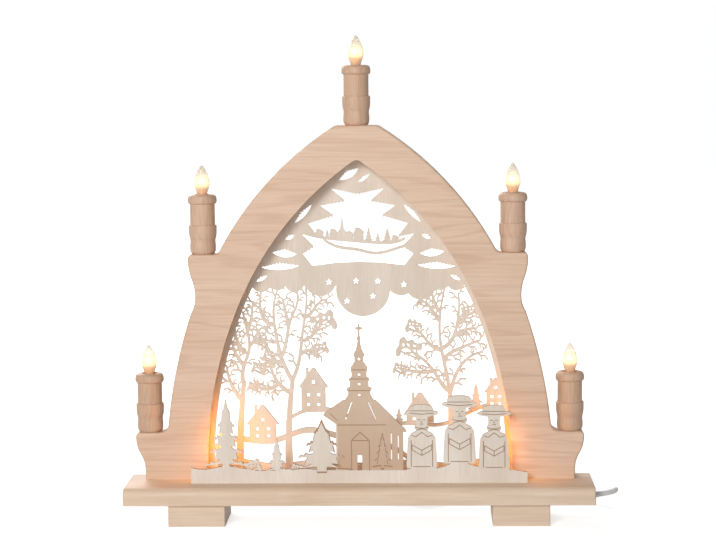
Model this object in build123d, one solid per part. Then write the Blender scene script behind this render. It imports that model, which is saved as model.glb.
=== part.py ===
from build123d import *
import math
import os

# Candle arch: a pointed wooden arch on a board, with two fretwork sheets and seven small lamps.
# Millimetres, X right, Y towards the back, Z up, standing on Z = 0, middle of the board at X = Y = 0.

# Base board and feet
base_length = 430.0
base_depth = 64.0
base_thickness = 16.0
base_front_round = 7.0
base_end_round = 1.5
foot_height = 20.0
foot_width = 52.0
foot_depth = 57.0
foot_offset = 148.0
foot_edge_round = 1.0
board_top = foot_height + base_thickness
fit_gap = 0.1
cut_overrun = 2.0

# Arch, with heights above the top of the board
arch_thickness = 20.0
sheet_thickness = 3.0
arch_back = base_depth / 2 - sheet_thickness
arch_front = arch_back - arch_thickness
arch_middle = arch_back - arch_thickness / 2
arch_edge_round = 2.0

# Opening of the arch: an upper and a lower arc each side, which meet without a corner
opening_upper_radius = 306.5
opening_upper_center = 172.1
opening_upper_rise = 43.4
opening_lower_radius = 388.5
opening_join_angle = 23.85
opening_apex_round = 7.0

# Outer outline of the arch: shoulders and flanks are arcs about points across the middle
crown_height = 327.2
shoulder_radius = 307.7
shoulder_center = 143.6
shoulder_rise = 66.4
flank_radius = 477.4
flank_center = 297.7
flank_rise = 2.2
crown_corner_round = 8.0
upper_step_height = 210.0
upper_ear_reach = 156.4
upper_ear_drop = 6.0
upper_waist_reach = 150.2
upper_waist_drop = 39.5
upper_flare_drop = 55.0
upper_step_fillet = 6.0
lower_step_height = 44.0
lower_ear_reach = 207.8
lower_ear_drop = 5.0
leg_reach = 199.4
leg_straight = 8.5
lower_step_fillet = 8.0
ear_corner_round = 4.0

# Candle places, from the middle of the arch
upper_candle_offset = 142.8
lower_candle_offset = 195.1
inner_lamp_offset = 124.0
inner_lamp_back = 5.0

# Turned candle cup and sleeve, with heights above the candle's seat
cup_height = 26.7
cup_foot_radius = 9.8
cup_belly_radius = 11.9
cup_belly_height = 4.5
cup_waist_radius = 11.6
cup_waist_height = 12.5
cup_rim_radius = 12.8
cup_rim_height = 22.5
cup_rim_round = 0.8
cup_floor = 6.0
sleeve_radius = 11.4
sleeve_tenon_radius = 9.0
sleeve_neck_height = 46.0
sleeve_top_height = 54.8
sleeve_bead_radius = 13.2
sleeve_mouth_radius = 9.4
sleeve_wire_radius = 5.0
sleeve_ledge_height = 25.0

# Lamp socket: moulded body with a brass shell and a sprung contact
socket_radius = 7.0
socket_length = 28.0
socket_floor = 13.0
socket_rim_gap = 1.0
shell_wall = 0.4
shell_gap = 0.05
screw_clearance = 0.07
contact_radius = 2.0
contact_gap = 0.2

# Candle bulb, with heights above the socket's top
cap_radius = 4.75
cap_length = 11.0
cap_insulator_radius = 3.4
cap_insulator_length = 1.8
cap_nib_radius = 1.6
cap_nib_length = 0.7
cap_wall = 0.3
glass_neck_radius = 4.3
glass_neck_depth = 2.0
glass_base_radius = 6.2
glass_base_height = 2.2
glass_belly_radius = 7.15
glass_belly_height = 10.6
glass_shoulder_radius = 4.6
glass_shoulder_height = 20.8
glass_tip_radius = 1.1
glass_tip_height = 28.8
glass_wall = 0.5
stem_radius = 1.6
stem_height = 6.5
lead_radius = 0.25
lead_spread = 2.2
filament_height = 12.0
filament_radius = 0.3

# Wiring inside the arch and the board
wire_radius = 0.9
wire_hole_radius = 3.0
wire_groove_offset = 17.0
wire_groove_width = 6.0
wire_groove_depth = 12.0
wire_cover_width = 12.0
wire_cover_thickness = 1.5
channel_width = 12.0
channel_depth = 8.0
channel_center = 4.0
channel_left_end = 166.0
channel_right_end = 206.0
inner_socket_depth = 6.0
upper_branch_height = 195.0
lower_branch_height = 30.0
wire_spacing = 3.0
wire_bend = 3.0

# Screws, countersunk, and the pins of the rear sheet
screw_radius = 1.5
screw_head_radius = 3.0
screw_head_height = 1.8
screw_tip_length = 3.0
screw_slot_width = 0.7
screw_slot_depth = 0.8
foot_screw_length = 25.0
foot_screw_recess = 6.0
foot_screw_spread = 13.0
foot_screw_depth = 18.0
arch_screw_length = 35.0
arch_screw_first = 168.0
arch_screw_spacing = 20.0
cover_screw_length = 12.0
cover_width = 26.0
cover_thickness = 2.0
cover_end_gap = 1.0
cover_screw_inset = 4.0
cover_screw_end = 12.0
clamp_length = 20.0
clamp_end_inset = 2.5
pin_radius = 0.6
pin_head_radius = 1.2
pin_head_height = 0.6
pin_length = 11.0
pin_offset = 4.0

# Fretwork sheets, with heights above the top of the board
rear_overlap = 8.0
rear_border = 4.5
rear_ground = 7.0
front_sheet_front = -9.0
front_half_length = 154.5
front_strip_height = 11.0
front_groove_depth = 3.0

# Lead, its coil and the plug
cord_radius = 2.3
cord_exit_back = 2.0
cord_start = 202.6
cord_height = foot_height + cord_radius + fit_gap
coil_center = (165.0, 112.0)
coil_outer_radius = 36.0
coil_pitch = 5.2
coil_turns_each_way = 3.25
cord_tail_run = 18.0
plug_body_length = 27.0
plug_width = 35.0
plug_thickness = 13.7
plug_nose_width = 26.0
plug_waist_width = 14.0
plug_neck_length = 22.0
plug_neck_radius = 3.0
plug_edge_round = 2.5
plug_pin_radius = 2.0
plug_root_radius = 1.6
plug_pin_length = 19.0
plug_pin_spacing = 18.6
plug_pin_tip = 1.0
plug_shoulder_share = 4 / 9


def save(node, shape):
    """Write one named piece."""
    export_step(shape, "parts/" + node + ".step")


def group(solids):
    """Keep several separate solids together under one name."""
    return Compound(children=list(solids))


def circle_x(center, rise, radius, height):
    """Reach of an arc about (-center, rise) at a height."""
    return math.sqrt(radius ** 2 - (height - rise) ** 2) - center


def circle_angle(rise, radius, height):
    """Angle at which an arc about a point at height rise passes a height."""
    return math.degrees(math.asin((height - rise) / radius))


def upper_arc_apex_angle(radius):
    return math.degrees(math.acos(opening_upper_center / radius))


def lower_arc_center():
    """Centre of the opening's lower arc, on the line from the join through the upper centre."""
    back = opening_lower_radius - opening_upper_radius
    turn = math.radians(opening_join_angle)
    return (-opening_upper_center - back * math.cos(turn), opening_upper_rise - back * math.sin(turn))


def opening_side(grow, bottom):
    """Right side of the opening's outline moved outward by grow: lower arc, then upper arc."""
    low_x, low_y = lower_arc_center()
    low_radius = opening_lower_radius + grow
    up_radius = opening_upper_radius + grow
    apex = upper_arc_apex_angle(up_radius)
    if bottom > join_height(grow):
        start = circle_angle(opening_upper_rise, up_radius, bottom)
        return [CenterArc((-opening_upper_center, opening_upper_rise), up_radius, start, apex - start)]
    start = circle_angle(low_y, low_radius, bottom)
    lower = CenterArc((low_x, low_y), low_radius, start, opening_join_angle - start)
    upper = CenterArc((-opening_upper_center, opening_upper_rise), up_radius,
                      opening_join_angle, apex - opening_join_angle)
    return [lower, upper]


def join_height(grow):
    """Height at which the two arcs of the opening's side meet."""
    return opening_upper_rise + (opening_upper_radius + grow) * math.sin(math.radians(opening_join_angle))


def opening_reach(grow, height):
    """Reach of the opening's outline, moved outward by grow, at a height."""
    low_x, low_y = lower_arc_center()
    low_radius = opening_lower_radius + grow
    up_radius = opening_upper_radius + grow
    if height < join_height(grow):
        return circle_x(-low_x, low_y, low_radius, height)
    return circle_x(opening_upper_center, opening_upper_rise, up_radius, height)


def pointed_face(grow, bottom):
    """Face inside the opening's outline moved outward by grow, closed by a level line."""
    right = opening_side(grow, bottom)
    left = [edge.mirror(Plane.YZ) for edge in right]
    reach = opening_reach(grow, bottom)
    sill = Line((-reach, bottom), (reach, bottom))
    return make_face(right + left + [sill])


def near(vertices, x, y, reach):
    """Vertices at both mirrored places of a point."""
    return [v for v in vertices if abs(abs(v.X) - x) < reach and abs(v.Y - y) < reach]


def upright(face, front, thickness):
    """Extrude a face drawn in X and height, and stand it on the board."""
    slab = extrude(face, amount=thickness)
    return Pos(0, front + thickness, board_top) * Rot(90, 0, 0) * slab


def scroll(start, end, first_tangent):
    """Two equal arcs that leave start along a tangent and reach end along the same line again."""
    middle = ((start[0] + end[0]) / 2, (start[1] + end[1]) / 2)
    first = TangentArc(start, middle, tangent=first_tangent)
    second = TangentArc(middle, end, tangent=first % 1)
    return [first, second]


def arch_side():
    """Right outer side of the arch, from the crown to the board."""
    down = (0, -1)
    step_angle = circle_angle(shoulder_rise, shoulder_radius, upper_step_height)
    crown_angle = circle_angle(shoulder_rise, shoulder_radius, crown_height)
    shoulder = CenterArc((-shoulder_center, shoulder_rise), shoulder_radius,
                         step_angle, crown_angle - step_angle)
    step_start = circle_x(shoulder_center, shoulder_rise, shoulder_radius, upper_step_height)
    upper_corner = (upper_ear_reach, upper_step_height)
    upper_ear = (upper_ear_reach, upper_step_height - upper_ear_drop)
    upper_waist = (upper_waist_reach, upper_step_height - upper_waist_drop)
    flare_height = upper_step_height - upper_flare_drop
    flare = (circle_x(flank_center, flank_rise, flank_radius, flare_height), flare_height)
    upper_scroll = scroll(upper_ear, upper_waist, down)
    flare_arc = TangentArc(upper_waist, flare, tangent=down)
    low_angle = circle_angle(flank_rise, flank_radius, lower_step_height)
    flare_angle = circle_angle(flank_rise, flank_radius, flare_height)
    flank = CenterArc((-flank_center, flank_rise), flank_radius, low_angle, flare_angle - low_angle)
    low_start = circle_x(flank_center, flank_rise, flank_radius, lower_step_height)
    lower_corner = (lower_ear_reach, lower_step_height)
    lower_ear = (lower_ear_reach, lower_step_height - lower_ear_drop)
    leg_top = (leg_reach, leg_straight)
    edges = [shoulder, Line((step_start, upper_step_height), upper_corner), Line(upper_corner, upper_ear)]
    edges += upper_scroll
    edges += [flare_arc, flank, Line((low_start, lower_step_height), lower_corner)]
    edges += [Line(lower_corner, lower_ear)]
    edges += scroll(lower_ear, leg_top, down)
    edges += [Line(leg_top, (leg_reach, 0)), Line((leg_reach, 0), (opening_reach(0, 0), 0))]
    return edges


def arch_face():
    """Whole outline of the arch with its open pointed middle and rounded corners."""
    right = arch_side() + opening_side(0, 0)
    left = [edge.mirror(Plane.YZ) for edge in right]
    crown_reach = circle_x(shoulder_center, shoulder_rise, shoulder_radius, crown_height)
    crown = Line((-crown_reach, crown_height), (crown_reach, crown_height))
    face = make_face(right + left + [crown])
    step_start = circle_x(shoulder_center, shoulder_rise, shoulder_radius, upper_step_height)
    low_start = circle_x(flank_center, flank_rise, flank_radius, lower_step_height)
    apex = apex_height(0)
    corners = [(crown_reach, crown_height, crown_corner_round),
               (step_start, upper_step_height, upper_step_fillet),
               (upper_ear_reach, upper_step_height, ear_corner_round),
               (low_start, lower_step_height, lower_step_fillet),
               (lower_ear_reach, lower_step_height, ear_corner_round),
               (0, apex, opening_apex_round)]
    for x, y, radius in corners:
        face = fillet(near(face.vertices(), x, y, fit_gap), radius)
    return face


def apex_height(grow):
    """Height of the opening's point when its outline is moved outward by grow."""
    radius = opening_upper_radius + grow
    return opening_upper_rise + math.sqrt(radius ** 2 - opening_upper_center ** 2)


def bar(x0, y0, z0, x1, y1, z1):
    """Box between two corners."""
    size = Box(x1 - x0, y1 - y0, z1 - z0, align=(Align.MIN, Align.MIN, Align.MIN))
    return Pos(x0, y0, z0) * size


def post(x, y, z0, z1, radius):
    """Upright round bar or hole."""
    return Pos(x, y, z0) * Cylinder(radius, z1 - z0, align=(Align.CENTER, Align.CENTER, Align.MIN))


def candle_places():
    """Name, X and height of each candle's seat."""
    upper = board_top + upper_step_height
    lower = board_top + lower_step_height
    return [("top", 0, board_top + crown_height),
            ("upper_left", -upper_candle_offset, upper),
            ("upper_right", upper_candle_offset, upper),
            ("lower_left", -lower_candle_offset, lower),
            ("lower_right", lower_candle_offset, lower)]


def wire_grooves():
    """Groove in the arch's back that follows the opening, with a branch to each side candle."""
    half = wire_groove_width / 2
    band = pointed_face(wire_groove_offset + half, 0) - pointed_face(wire_groove_offset - half, 0)
    groove = upright(band, arch_back - wire_groove_depth, wire_groove_depth + cut_overrun)
    back = arch_back + cut_overrun
    front = arch_back - wire_groove_depth
    parts = [groove]
    for side in (-1, 1):
        for height, offset in ((upper_branch_height, upper_candle_offset),
                               (lower_branch_height, lower_candle_offset)):
            start = opening_reach(wire_groove_offset, height)
            low = min(side * start, side * (offset + half))
            high = max(side * start, side * (offset + half))
            middle = board_top + height
            parts.append(bar(low, front, middle - half, high, back, middle + half))
    return parts


def candle_bores():
    """Wire hole below each candle, down to its groove."""
    bottoms = {"top": board_top + apex_height(wire_groove_offset),
               "upper": board_top + upper_branch_height,
               "lower": board_top + lower_branch_height}
    bores = []
    for name, x, seat in candle_places():
        bottom = bottoms[name.split("_")[0]]
        bores.append(post(x, arch_middle, bottom, seat + cut_overrun, wire_hole_radius))
    return bores


def screw(length, grow=0.0):
    """Countersunk wood screw pointing up from its head at the origin; grow makes its hole."""
    shank = screw_radius + grow
    head = screw_head_radius + grow
    body = post(0, 0, 0, length - screw_tip_length, shank)
    cone = Cone(head, shank, screw_head_height, align=(Align.CENTER, Align.CENTER, Align.MIN))
    tip = Cone(shank, grow + fit_gap, screw_tip_length, align=(Align.CENTER, Align.CENTER, Align.MIN))
    made = body + cone + Pos(0, 0, length - screw_tip_length) * tip
    if grow > 0:
        return made + post(0, 0, -cut_overrun, 0, head) + post(0, 0, 0, length + grow, fit_gap + grow)
    half = screw_slot_width / 2
    reach = screw_radius
    slot = bar(-half, -reach, -cut_overrun, half, reach, screw_slot_depth)
    cross = bar(-reach, -half, -cut_overrun, reach, half, screw_slot_depth)
    return made - slot - cross


def foot_screw_places():
    """Two screws in each foot, set apart across its depth."""
    places = []
    for side in (-1, 1):
        places.append((side * foot_offset, -foot_screw_depth, foot_screw_recess))
        places.append((side * (foot_offset - foot_screw_spread), foot_screw_depth, foot_screw_recess))
    return places


def arch_screw_places():
    """Two screws up through the board into each leg of the arch."""
    places = []
    for side in (-1, 1):
        for index in range(2):
            x = side * (arch_screw_first + index * arch_screw_spacing)
            places.append((x, arch_middle, foot_height))
    return places


def cover_half_length():
    """Half length of the middle cover, which reaches almost from foot to foot."""
    return foot_offset - foot_width / 2 - cover_end_gap


def clamp_middle():
    """Middle of the lead's clamp, in from the right end of the board."""
    return base_length / 2 - clamp_end_inset - clamp_length / 2


def cover_screw_places():
    """Four screws in the middle cover and two in the lead's clamp."""
    across = cover_width / 2 - cover_screw_inset
    along = cover_half_length() - cover_screw_end
    xs = (-along, along, clamp_middle())
    bottom = foot_height - cover_thickness
    return [(x, channel_center + side * across, bottom) for x in xs for side in (-1, 1)]


def base_board():
    """Board with a round front edge, wiring channels, groove, lamp holes and screw holes."""
    board = bar(-base_length / 2, -base_depth / 2, foot_height, base_length / 2, base_depth / 2, board_top)
    front_edge = board.edges().filter_by(Axis.X).sort_by(lambda e: e.center().Z - e.center().Y)[-1]
    board = fillet(front_edge, base_front_round)
    for end in (0, -1):
        rim = board.faces().sort_by(Axis.X)[end].edges()
        upper_rim = [e for e in rim if e.center().Z > foot_height + fit_gap]
        board = fillet(upper_rim, base_end_round)
    low = foot_height - cut_overrun
    roof = foot_height + channel_depth
    half = channel_width / 2
    cuts = [bar(-channel_left_end, channel_center - half, low, channel_right_end, channel_center + half, roof)]
    for side in (-1, 1):
        x = side * opening_reach(wire_groove_offset, 0)
        across = wire_groove_width / 2
        cuts.append(bar(x - across, channel_center, low, x + across, arch_middle + across, roof))
        cuts.append(post(x, arch_middle, low, board_top + cut_overrun, across))
        lamp = side * inner_lamp_offset
        rest = board_top - inner_socket_depth
        cuts.append(post(lamp, inner_lamp_back, rest, board_top + cut_overrun, socket_radius + fit_gap))
        cuts.append(post(lamp, inner_lamp_back, low, rest, wire_hole_radius))
    lead_gap = cord_radius + fit_gap
    notch_roof = cord_height + lead_gap
    notch_end = base_length / 2 + cut_overrun
    cuts.append(bar(channel_right_end - half, cord_exit_back - lead_gap, low,
                    notch_end, cord_exit_back + lead_gap, notch_roof))
    groove_front = front_sheet_front - fit_gap
    groove_back = front_sheet_front + sheet_thickness + fit_gap
    reach = front_half_length + fit_gap
    cuts.append(bar(-reach, groove_front, board_top - front_groove_depth, reach, groove_back,
                    board_top + cut_overrun))
    cuts += screw_holes()
    return board - cuts


def screws(places, length, grow=0.0):
    """Screws of one length at their places, or their holes where grow is given."""
    return [Pos(*place) * screw(length, grow) for place in places]


def screw_holes():
    """Holes for every screw in the board."""
    return (screws(foot_screw_places(), foot_screw_length, fit_gap)
            + screws(arch_screw_places(), arch_screw_length, fit_gap)
            + screws(cover_screw_places(), cover_screw_length, fit_gap))


def foot(side):
    """Block under the board with rounded lower edges and deep holes for its two screws."""
    x = side * foot_offset
    block = bar(x - foot_width / 2, -foot_depth / 2, 0, x + foot_width / 2, foot_depth / 2, foot_height)
    uprights = block.edges().filter_by(Axis.Z)
    block = fillet(uprights, foot_edge_round)
    for hole_x, hole_y, rest in foot_screw_places():
        if hole_x * side > 0:
            block -= post(hole_x, hole_y, -cut_overrun, rest, screw_head_radius + fit_gap)
            block -= Pos(hole_x, hole_y, rest) * screw(foot_screw_length, fit_gap)
    return block


def arch_frame():
    """Solid wood arch with rounded outer edges, wire grooves, candle bores and screw holes."""
    slab = upright(arch_face(), arch_front, arch_thickness)
    outer = []
    for edge in slab.edges():
        spot = edge @ 0.5
        height = spot.Z - board_top
        level = abs(abs(spot.Y - arch_middle) - arch_thickness / 2) < fit_gap
        outside = height > apex_height(fit_gap) or abs(spot.X) > opening_reach(arch_edge_round, max(height, 0))
        if level and height > fit_gap and outside:
            outer.append(edge)
    slab = fillet(outer, arch_edge_round)
    cuts = wire_grooves() + candle_bores()
    cuts += screws(arch_screw_places(), arch_screw_length, fit_gap)
    for place in rear_pin_places():
        cuts.append(place * rear_pin(fit_gap))
    return slab - cuts


def wire_cover():
    """Thin veneer strip glued over the wire grooves of the arch."""
    half = wire_cover_width / 2
    band = pointed_face(wire_groove_offset + half, 0) - pointed_face(wire_groove_offset - half, 0)
    strip = upright(band, arch_back, wire_cover_thickness)
    for side in (-1, 1):
        for height, offset in ((upper_branch_height, upper_candle_offset),
                               (lower_branch_height, lower_candle_offset)):
            start = opening_reach(wire_groove_offset, height)
            low = min(side * start, side * (offset + half))
            high = max(side * start, side * (offset + half))
            middle = board_top + height
            strip += bar(low, arch_back, middle - half, high, arch_back + wire_cover_thickness, middle + half)
    return strip


def rear_pin(grow=0.0):
    """Small round-headed nail along -Y from its head at the origin."""
    shank = Cylinder(pin_radius + grow, pin_length, align=(Align.CENTER, Align.CENTER, Align.MIN))
    head = Cylinder(pin_head_radius + grow, pin_head_height, align=(Align.CENTER, Align.CENTER, Align.MIN))
    return Rot(90, 0, 0) * (shank + head)


pin_height_shares = (0.06, 0.24, 0.42, 0.60, 0.78, 0.93)


def rear_pin_places():
    """Nails down both sides of the rear sheet's glued border."""
    places = []
    for side in (-1, 1):
        for share in pin_height_shares:
            height = share * apex_height(0)
            x = side * opening_reach(pin_offset, height)
            places.append(Pos(x, base_depth / 2, board_top + height))
    return places


def base_cover():
    """Thin plate over the middle of the wiring channel."""
    half = cover_half_length()
    bottom = foot_height - cover_thickness
    plate = bar(-half, channel_center - cover_width / 2, bottom, half, channel_center + cover_width / 2,
                foot_height)
    return plate - screws(cover_screw_places(), cover_screw_length, fit_gap)


def cord_clamp():
    """Small plate that holds the lead in the end of the channel."""
    middle = clamp_middle()
    bottom = foot_height - cover_thickness
    plate = bar(middle - clamp_length / 2, channel_center - cover_width / 2, bottom,
                middle + clamp_length / 2, channel_center + cover_width / 2, foot_height)
    return plate - screws(cover_screw_places(), cover_screw_length, fit_gap)


def turned(edges):
    """Solid of revolution about Z from edges of radius and height that end on the axis."""
    first = edges[0] @ 0
    last = edges[-1] @ 1
    axis_line = Line((last.X, last.Y), (first.X, first.Y))
    face = make_face(edges + [axis_line])
    return revolve(Rot(90, 0, 0) * face, Axis.Z)


def candle_cup():
    """Turned cup with a rounded foot, a slight waist, a flared rim and a bore for the sleeve."""
    belly = (cup_belly_radius, cup_belly_height)
    waist = (cup_waist_radius, cup_waist_height)
    rim = (cup_rim_radius, cup_rim_height)
    lip = (cup_rim_radius, cup_height - cup_rim_round)
    lip_in = (cup_rim_radius - cup_rim_round, cup_height)
    foot_curve = Spline((cup_foot_radius, 0), belly, waist, rim, tangents=[(1, 0.6), (0, 1)])
    edges = [Line((0, 0), (cup_foot_radius, 0)), foot_curve, Line(rim, lip),
             RadiusArc(lip, lip_in, -cup_rim_round), Line(lip_in, (0, cup_height))]
    cup = turned(edges)
    bore = post(0, 0, cup_floor, cup_height + cut_overrun, sleeve_tenon_radius + fit_gap)
    return cup - bore - post(0, 0, -cut_overrun, cup_floor, wire_hole_radius)


def candle_sleeve():
    """Turned wooden candle with a beaded top, a tenon in the cup and a bore for the socket."""
    bead_middle = (sleeve_bead_radius, (sleeve_neck_height + sleeve_top_height) / 2)
    bead_top = (sleeve_mouth_radius, sleeve_top_height)
    edges = [Line((0, cup_floor), (sleeve_tenon_radius, cup_floor)),
             Line((sleeve_tenon_radius, cup_floor), (sleeve_tenon_radius, cup_height)),
             Line((sleeve_tenon_radius, cup_height), (sleeve_radius, cup_height)),
             Line((sleeve_radius, cup_height), (sleeve_radius, sleeve_neck_height)),
             Spline((sleeve_radius, sleeve_neck_height), bead_middle, bead_top,
                    tangents=[(1, 0.4), (-1, 0.15)]),
             Line(bead_top, (0, sleeve_top_height))]
    body = turned(edges)
    bore = post(0, 0, sleeve_ledge_height, sleeve_top_height + cut_overrun, socket_radius + fit_gap)
    return body - bore - post(0, 0, 0, sleeve_ledge_height, sleeve_wire_radius)


def socket_body():
    """Moulded lamp holder from the origin up, with a bore for the shell and two wire holes."""
    inner = cap_radius + screw_clearance + shell_wall + shell_gap
    body = post(0, 0, 0, socket_length, socket_radius)
    body -= post(0, 0, socket_floor, socket_length + cut_overrun, inner)
    chamfered = body.edges().filter_by(GeomType.CIRCLE).sort_by(Axis.Z)[-2:]
    body = chamfer(chamfered, shell_wall)
    return body


def socket_shell():
    """Brass shell that the bulb's cap turns in."""
    inner = cap_radius + screw_clearance
    top = socket_length - socket_rim_gap
    shell = post(0, 0, socket_floor, top, inner + shell_wall)
    return shell - post(0, 0, socket_floor - cut_overrun, top + cut_overrun, inner)


def socket_contact():
    """Sprung centre contact on the socket's floor, just below the bulb's tip."""
    return post(0, 0, socket_floor, socket_length - cap_length - contact_gap, contact_radius)


def glass_profile(inset):
    """Right side of the flame-shaped glass, from its base to its tip, moved inward by inset."""
    base = (glass_base_radius - inset, glass_base_height)
    belly = (glass_belly_radius - inset, glass_belly_height)
    shoulder = (glass_shoulder_radius - inset, glass_shoulder_height)
    tip = (glass_tip_radius - inset, glass_tip_height - glass_tip_radius)
    point = (0, glass_tip_height - inset)
    side = Spline(base, belly, shoulder, tip, tangents=[(0.25, 1), (-0.35, 1)])
    cap = Spline(tip, point, tangents=[(-0.35, 1), (-1, 0)])
    return [side, cap]


def bulb_glass():
    """Hollow flame-shaped glass with a narrow neck that sits in the cap."""
    neck = (glass_neck_radius, -glass_neck_depth)
    root = (glass_neck_radius, 0)
    base = (glass_base_radius, glass_base_height)
    outer = turned([Line((0, -glass_neck_depth), neck), Line(neck, root), Line(root, base)]
                   + glass_profile(0))
    low = -glass_neck_depth - cut_overrun
    inner_neck = (glass_neck_radius - glass_wall, low)
    inner_root = (glass_neck_radius - glass_wall, 0)
    inner_base = (glass_base_radius - glass_wall, glass_base_height)
    inner = turned([Line((0, low), inner_neck), Line(inner_neck, inner_root), Line(inner_root, inner_base)]
                   + glass_profile(glass_wall))
    return outer - inner


def bulb_cap():
    """Metal cap, its insulator and its solder nib, as three solids."""
    shell_bottom = -cap_length + cap_insulator_length
    shell = post(0, 0, shell_bottom, 0, cap_radius)
    shell -= post(0, 0, shell_bottom + cap_wall, cut_overrun, cap_radius - cap_wall)
    height = cap_insulator_length - cap_nib_length
    insulator = Pos(0, 0, shell_bottom - height) * Cone(
        cap_nib_radius, cap_insulator_radius, height, align=(Align.CENTER, Align.CENTER, Align.MIN))
    nib = post(0, 0, -cap_length, -cap_length + cap_nib_length, cap_nib_radius)
    return group([shell, insulator, nib])


def bulb_filament():
    """Glass stem on the cap's floor, two leads and the filament between them."""
    bottom = -cap_length + cap_insulator_length + cap_wall
    stem = post(0, 0, bottom, stem_height - stem_radius, stem_radius * 2)
    stem += Pos(0, 0, stem_height - stem_radius) * Cone(
        stem_radius * 2, stem_radius, stem_radius, align=(Align.CENTER, Align.CENTER, Align.MIN))
    solids = [stem]
    ends = []
    for side in (-1, 1):
        foot_point = Vector(side * stem_radius / 2, 0, stem_height)
        top = Vector(side * lead_spread, 0, filament_height)
        ends.append(top)
        path = Line(foot_point, top)
        solids.append(sweep(Plane(foot_point, z_dir=path % 0) * Circle(lead_radius), path))
    middle = Vector(0, 0, filament_height + lead_spread)
    reach = filament_radius + lead_radius
    start = Vector(ends[0].X, 0, ends[0].Z + reach)
    end = Vector(ends[1].X, 0, ends[1].Z + reach)
    arc = ThreePointArc(start, middle + Vector(0, 0, reach), end)
    solids.append(sweep(Plane(start, z_dir=arc % 0) * Circle(filament_radius), arc))
    return group(solids)


def lamp_places():
    """Name and the place of each socket's bottom: five candles and the two lamps behind the front sheet."""
    places = [(name, Pos(x, arch_middle, seat + sleeve_ledge_height)) for name, x, seat in candle_places()]
    rest = board_top - inner_socket_depth
    places.append(("inner_left", Pos(-inner_lamp_offset, inner_lamp_back, rest)))
    places.append(("inner_right", Pos(inner_lamp_offset, inner_lamp_back, rest)))
    return places


def wire(points):
    """Insulated wire along straight runs with equal round bends."""
    path = FilletPolyline(*points, radius=wire_bend)
    start = path @ 0
    return sweep(Plane(start, z_dir=path % 0) * Circle(wire_radius), path)


band_height_shares = (0.18, 0.30, 0.42, 0.54)
crown_band_height_shares = (0.74, 0.84, 0.93)


def band_points(side, shares):
    """Points along the middle of the wire groove at shares of its height."""
    top = apex_height(wire_groove_offset)
    return [(side * opening_reach(wire_groove_offset, share * top), arch_middle, board_top + share * top)
            for share in shares]


def arch_wires():
    """Six wires that run from the board up one leg, from candle to candle, and down the other leg."""
    half = wire_spacing / 2
    level = cord_height
    low = board_top + lower_branch_height
    high = board_top + upper_branch_height
    low_seat = board_top + lower_step_height + sleeve_ledge_height
    high_seat = board_top + upper_step_height + sleeve_ledge_height
    top_seat = board_top + crown_height + sleeve_ledge_height
    leg = opening_reach(wire_groove_offset, 0)
    low_band = opening_reach(wire_groove_offset, lower_branch_height)
    high_band = opening_reach(wire_groove_offset, upper_branch_height)
    starts = {1: [(cord_start - fit_gap, cord_exit_back + cord_radius / 2, level),
                  (leg, cord_exit_back + cord_radius / 2, level), (leg, arch_middle, level)],
              -1: [(-inner_lamp_offset - half, inner_lamp_back, board_top - inner_socket_depth),
                   (-inner_lamp_offset - half, inner_lamp_back, level),
                   (-leg, inner_lamp_back, level), (-leg, arch_middle, level)]}
    wires = []
    for side in (1, -1):
        out = side * (lower_candle_offset + half)
        back = side * (lower_candle_offset - half)
        wires.append(wire(starts[side] + [(side * low_band, arch_middle, low - half),
                                          (out, arch_middle, low - half), (out, arch_middle, low_seat)]))
        middle = band_points(side, band_height_shares)
        up = side * (upper_candle_offset + half)
        wires.append(wire([(back, arch_middle, low_seat), (back, arch_middle, low + half),
                           (side * low_band, arch_middle, low + half)] + middle
                          + [(side * high_band, arch_middle, high - half),
                             (up, arch_middle, high - half), (up, arch_middle, high_seat)]))
        inner = side * (upper_candle_offset - half)
        apex = board_top + apex_height(wire_groove_offset)
        wires.append(wire([(inner, arch_middle, high_seat), (inner, arch_middle, high + half),
                           (side * high_band, arch_middle, high + half)]
                          + band_points(side, crown_band_height_shares)
                          + [(side * half, arch_middle, apex), (side * half, arch_middle, top_seat)]))
    return group(wires)


def base_wires():
    """Two wires in the board: lamp to lamp, and back to the lead."""
    half = wire_spacing / 2
    level = cord_height
    rest = board_top - inner_socket_depth
    left = -inner_lamp_offset + half
    right = inner_lamp_offset - half
    lane = cord_exit_back - cord_radius / 2
    between = wire([(left, inner_lamp_back, rest), (left, inner_lamp_back, level), (left, lane, level),
                    (right, lane, level), (right, inner_lamp_back, level), (right, inner_lamp_back, rest)])
    back = inner_lamp_offset + half
    home = wire([(back, inner_lamp_back, rest), (back, inner_lamp_back, level), (back, lane, level),
                 (cord_start - fit_gap, lane, level)])
    return group([between, home])


# Route of the lead from the board to its coil, chosen by hand; each point lies on the lead's middle
cord_route = [(222.0, cord_exit_back, cord_height), (236.6, 14.8, 22.4), (240.2, 34.0, 20.8),
              (232.6, 53.4, 12.0), (214.4, 68.6, 5.0)]
cord_last_run = 22.0
cord_bend_share = 0.45


def run_points(points):
    return [Vector(*point) for point in points]


def bend_radii(points):
    """Radius of each bend: 0.45 of its shorter run, divided by the tangent of half its turn."""
    radii = []
    for before, here, after in zip(points, points[1:], points[2:]):
        turn = math.radians((here - before).get_angle(after - here))
        shorter = min((here - before).length, (after - here).length)
        radii.append(cord_bend_share * shorter / math.tan(turn / 2))
    return radii


def tube(points, name):
    """Round lead along straight runs and tangent arcs, with its radii and volume printed."""
    points = run_points(points)
    radii = bend_radii(points)
    path = FilletPolyline(*points, radius=radii)
    solid = sweep(Plane(path @ 0, z_dir=path % 0) * Circle(cord_radius), path)
    expected = math.pi * cord_radius ** 2 * path.length
    print(name, "radii", [round(r, 1) for r in radii], "length", round(path.length, 1),
          "volume share", round(solid.volume / expected, 4))
    return solid


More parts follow.
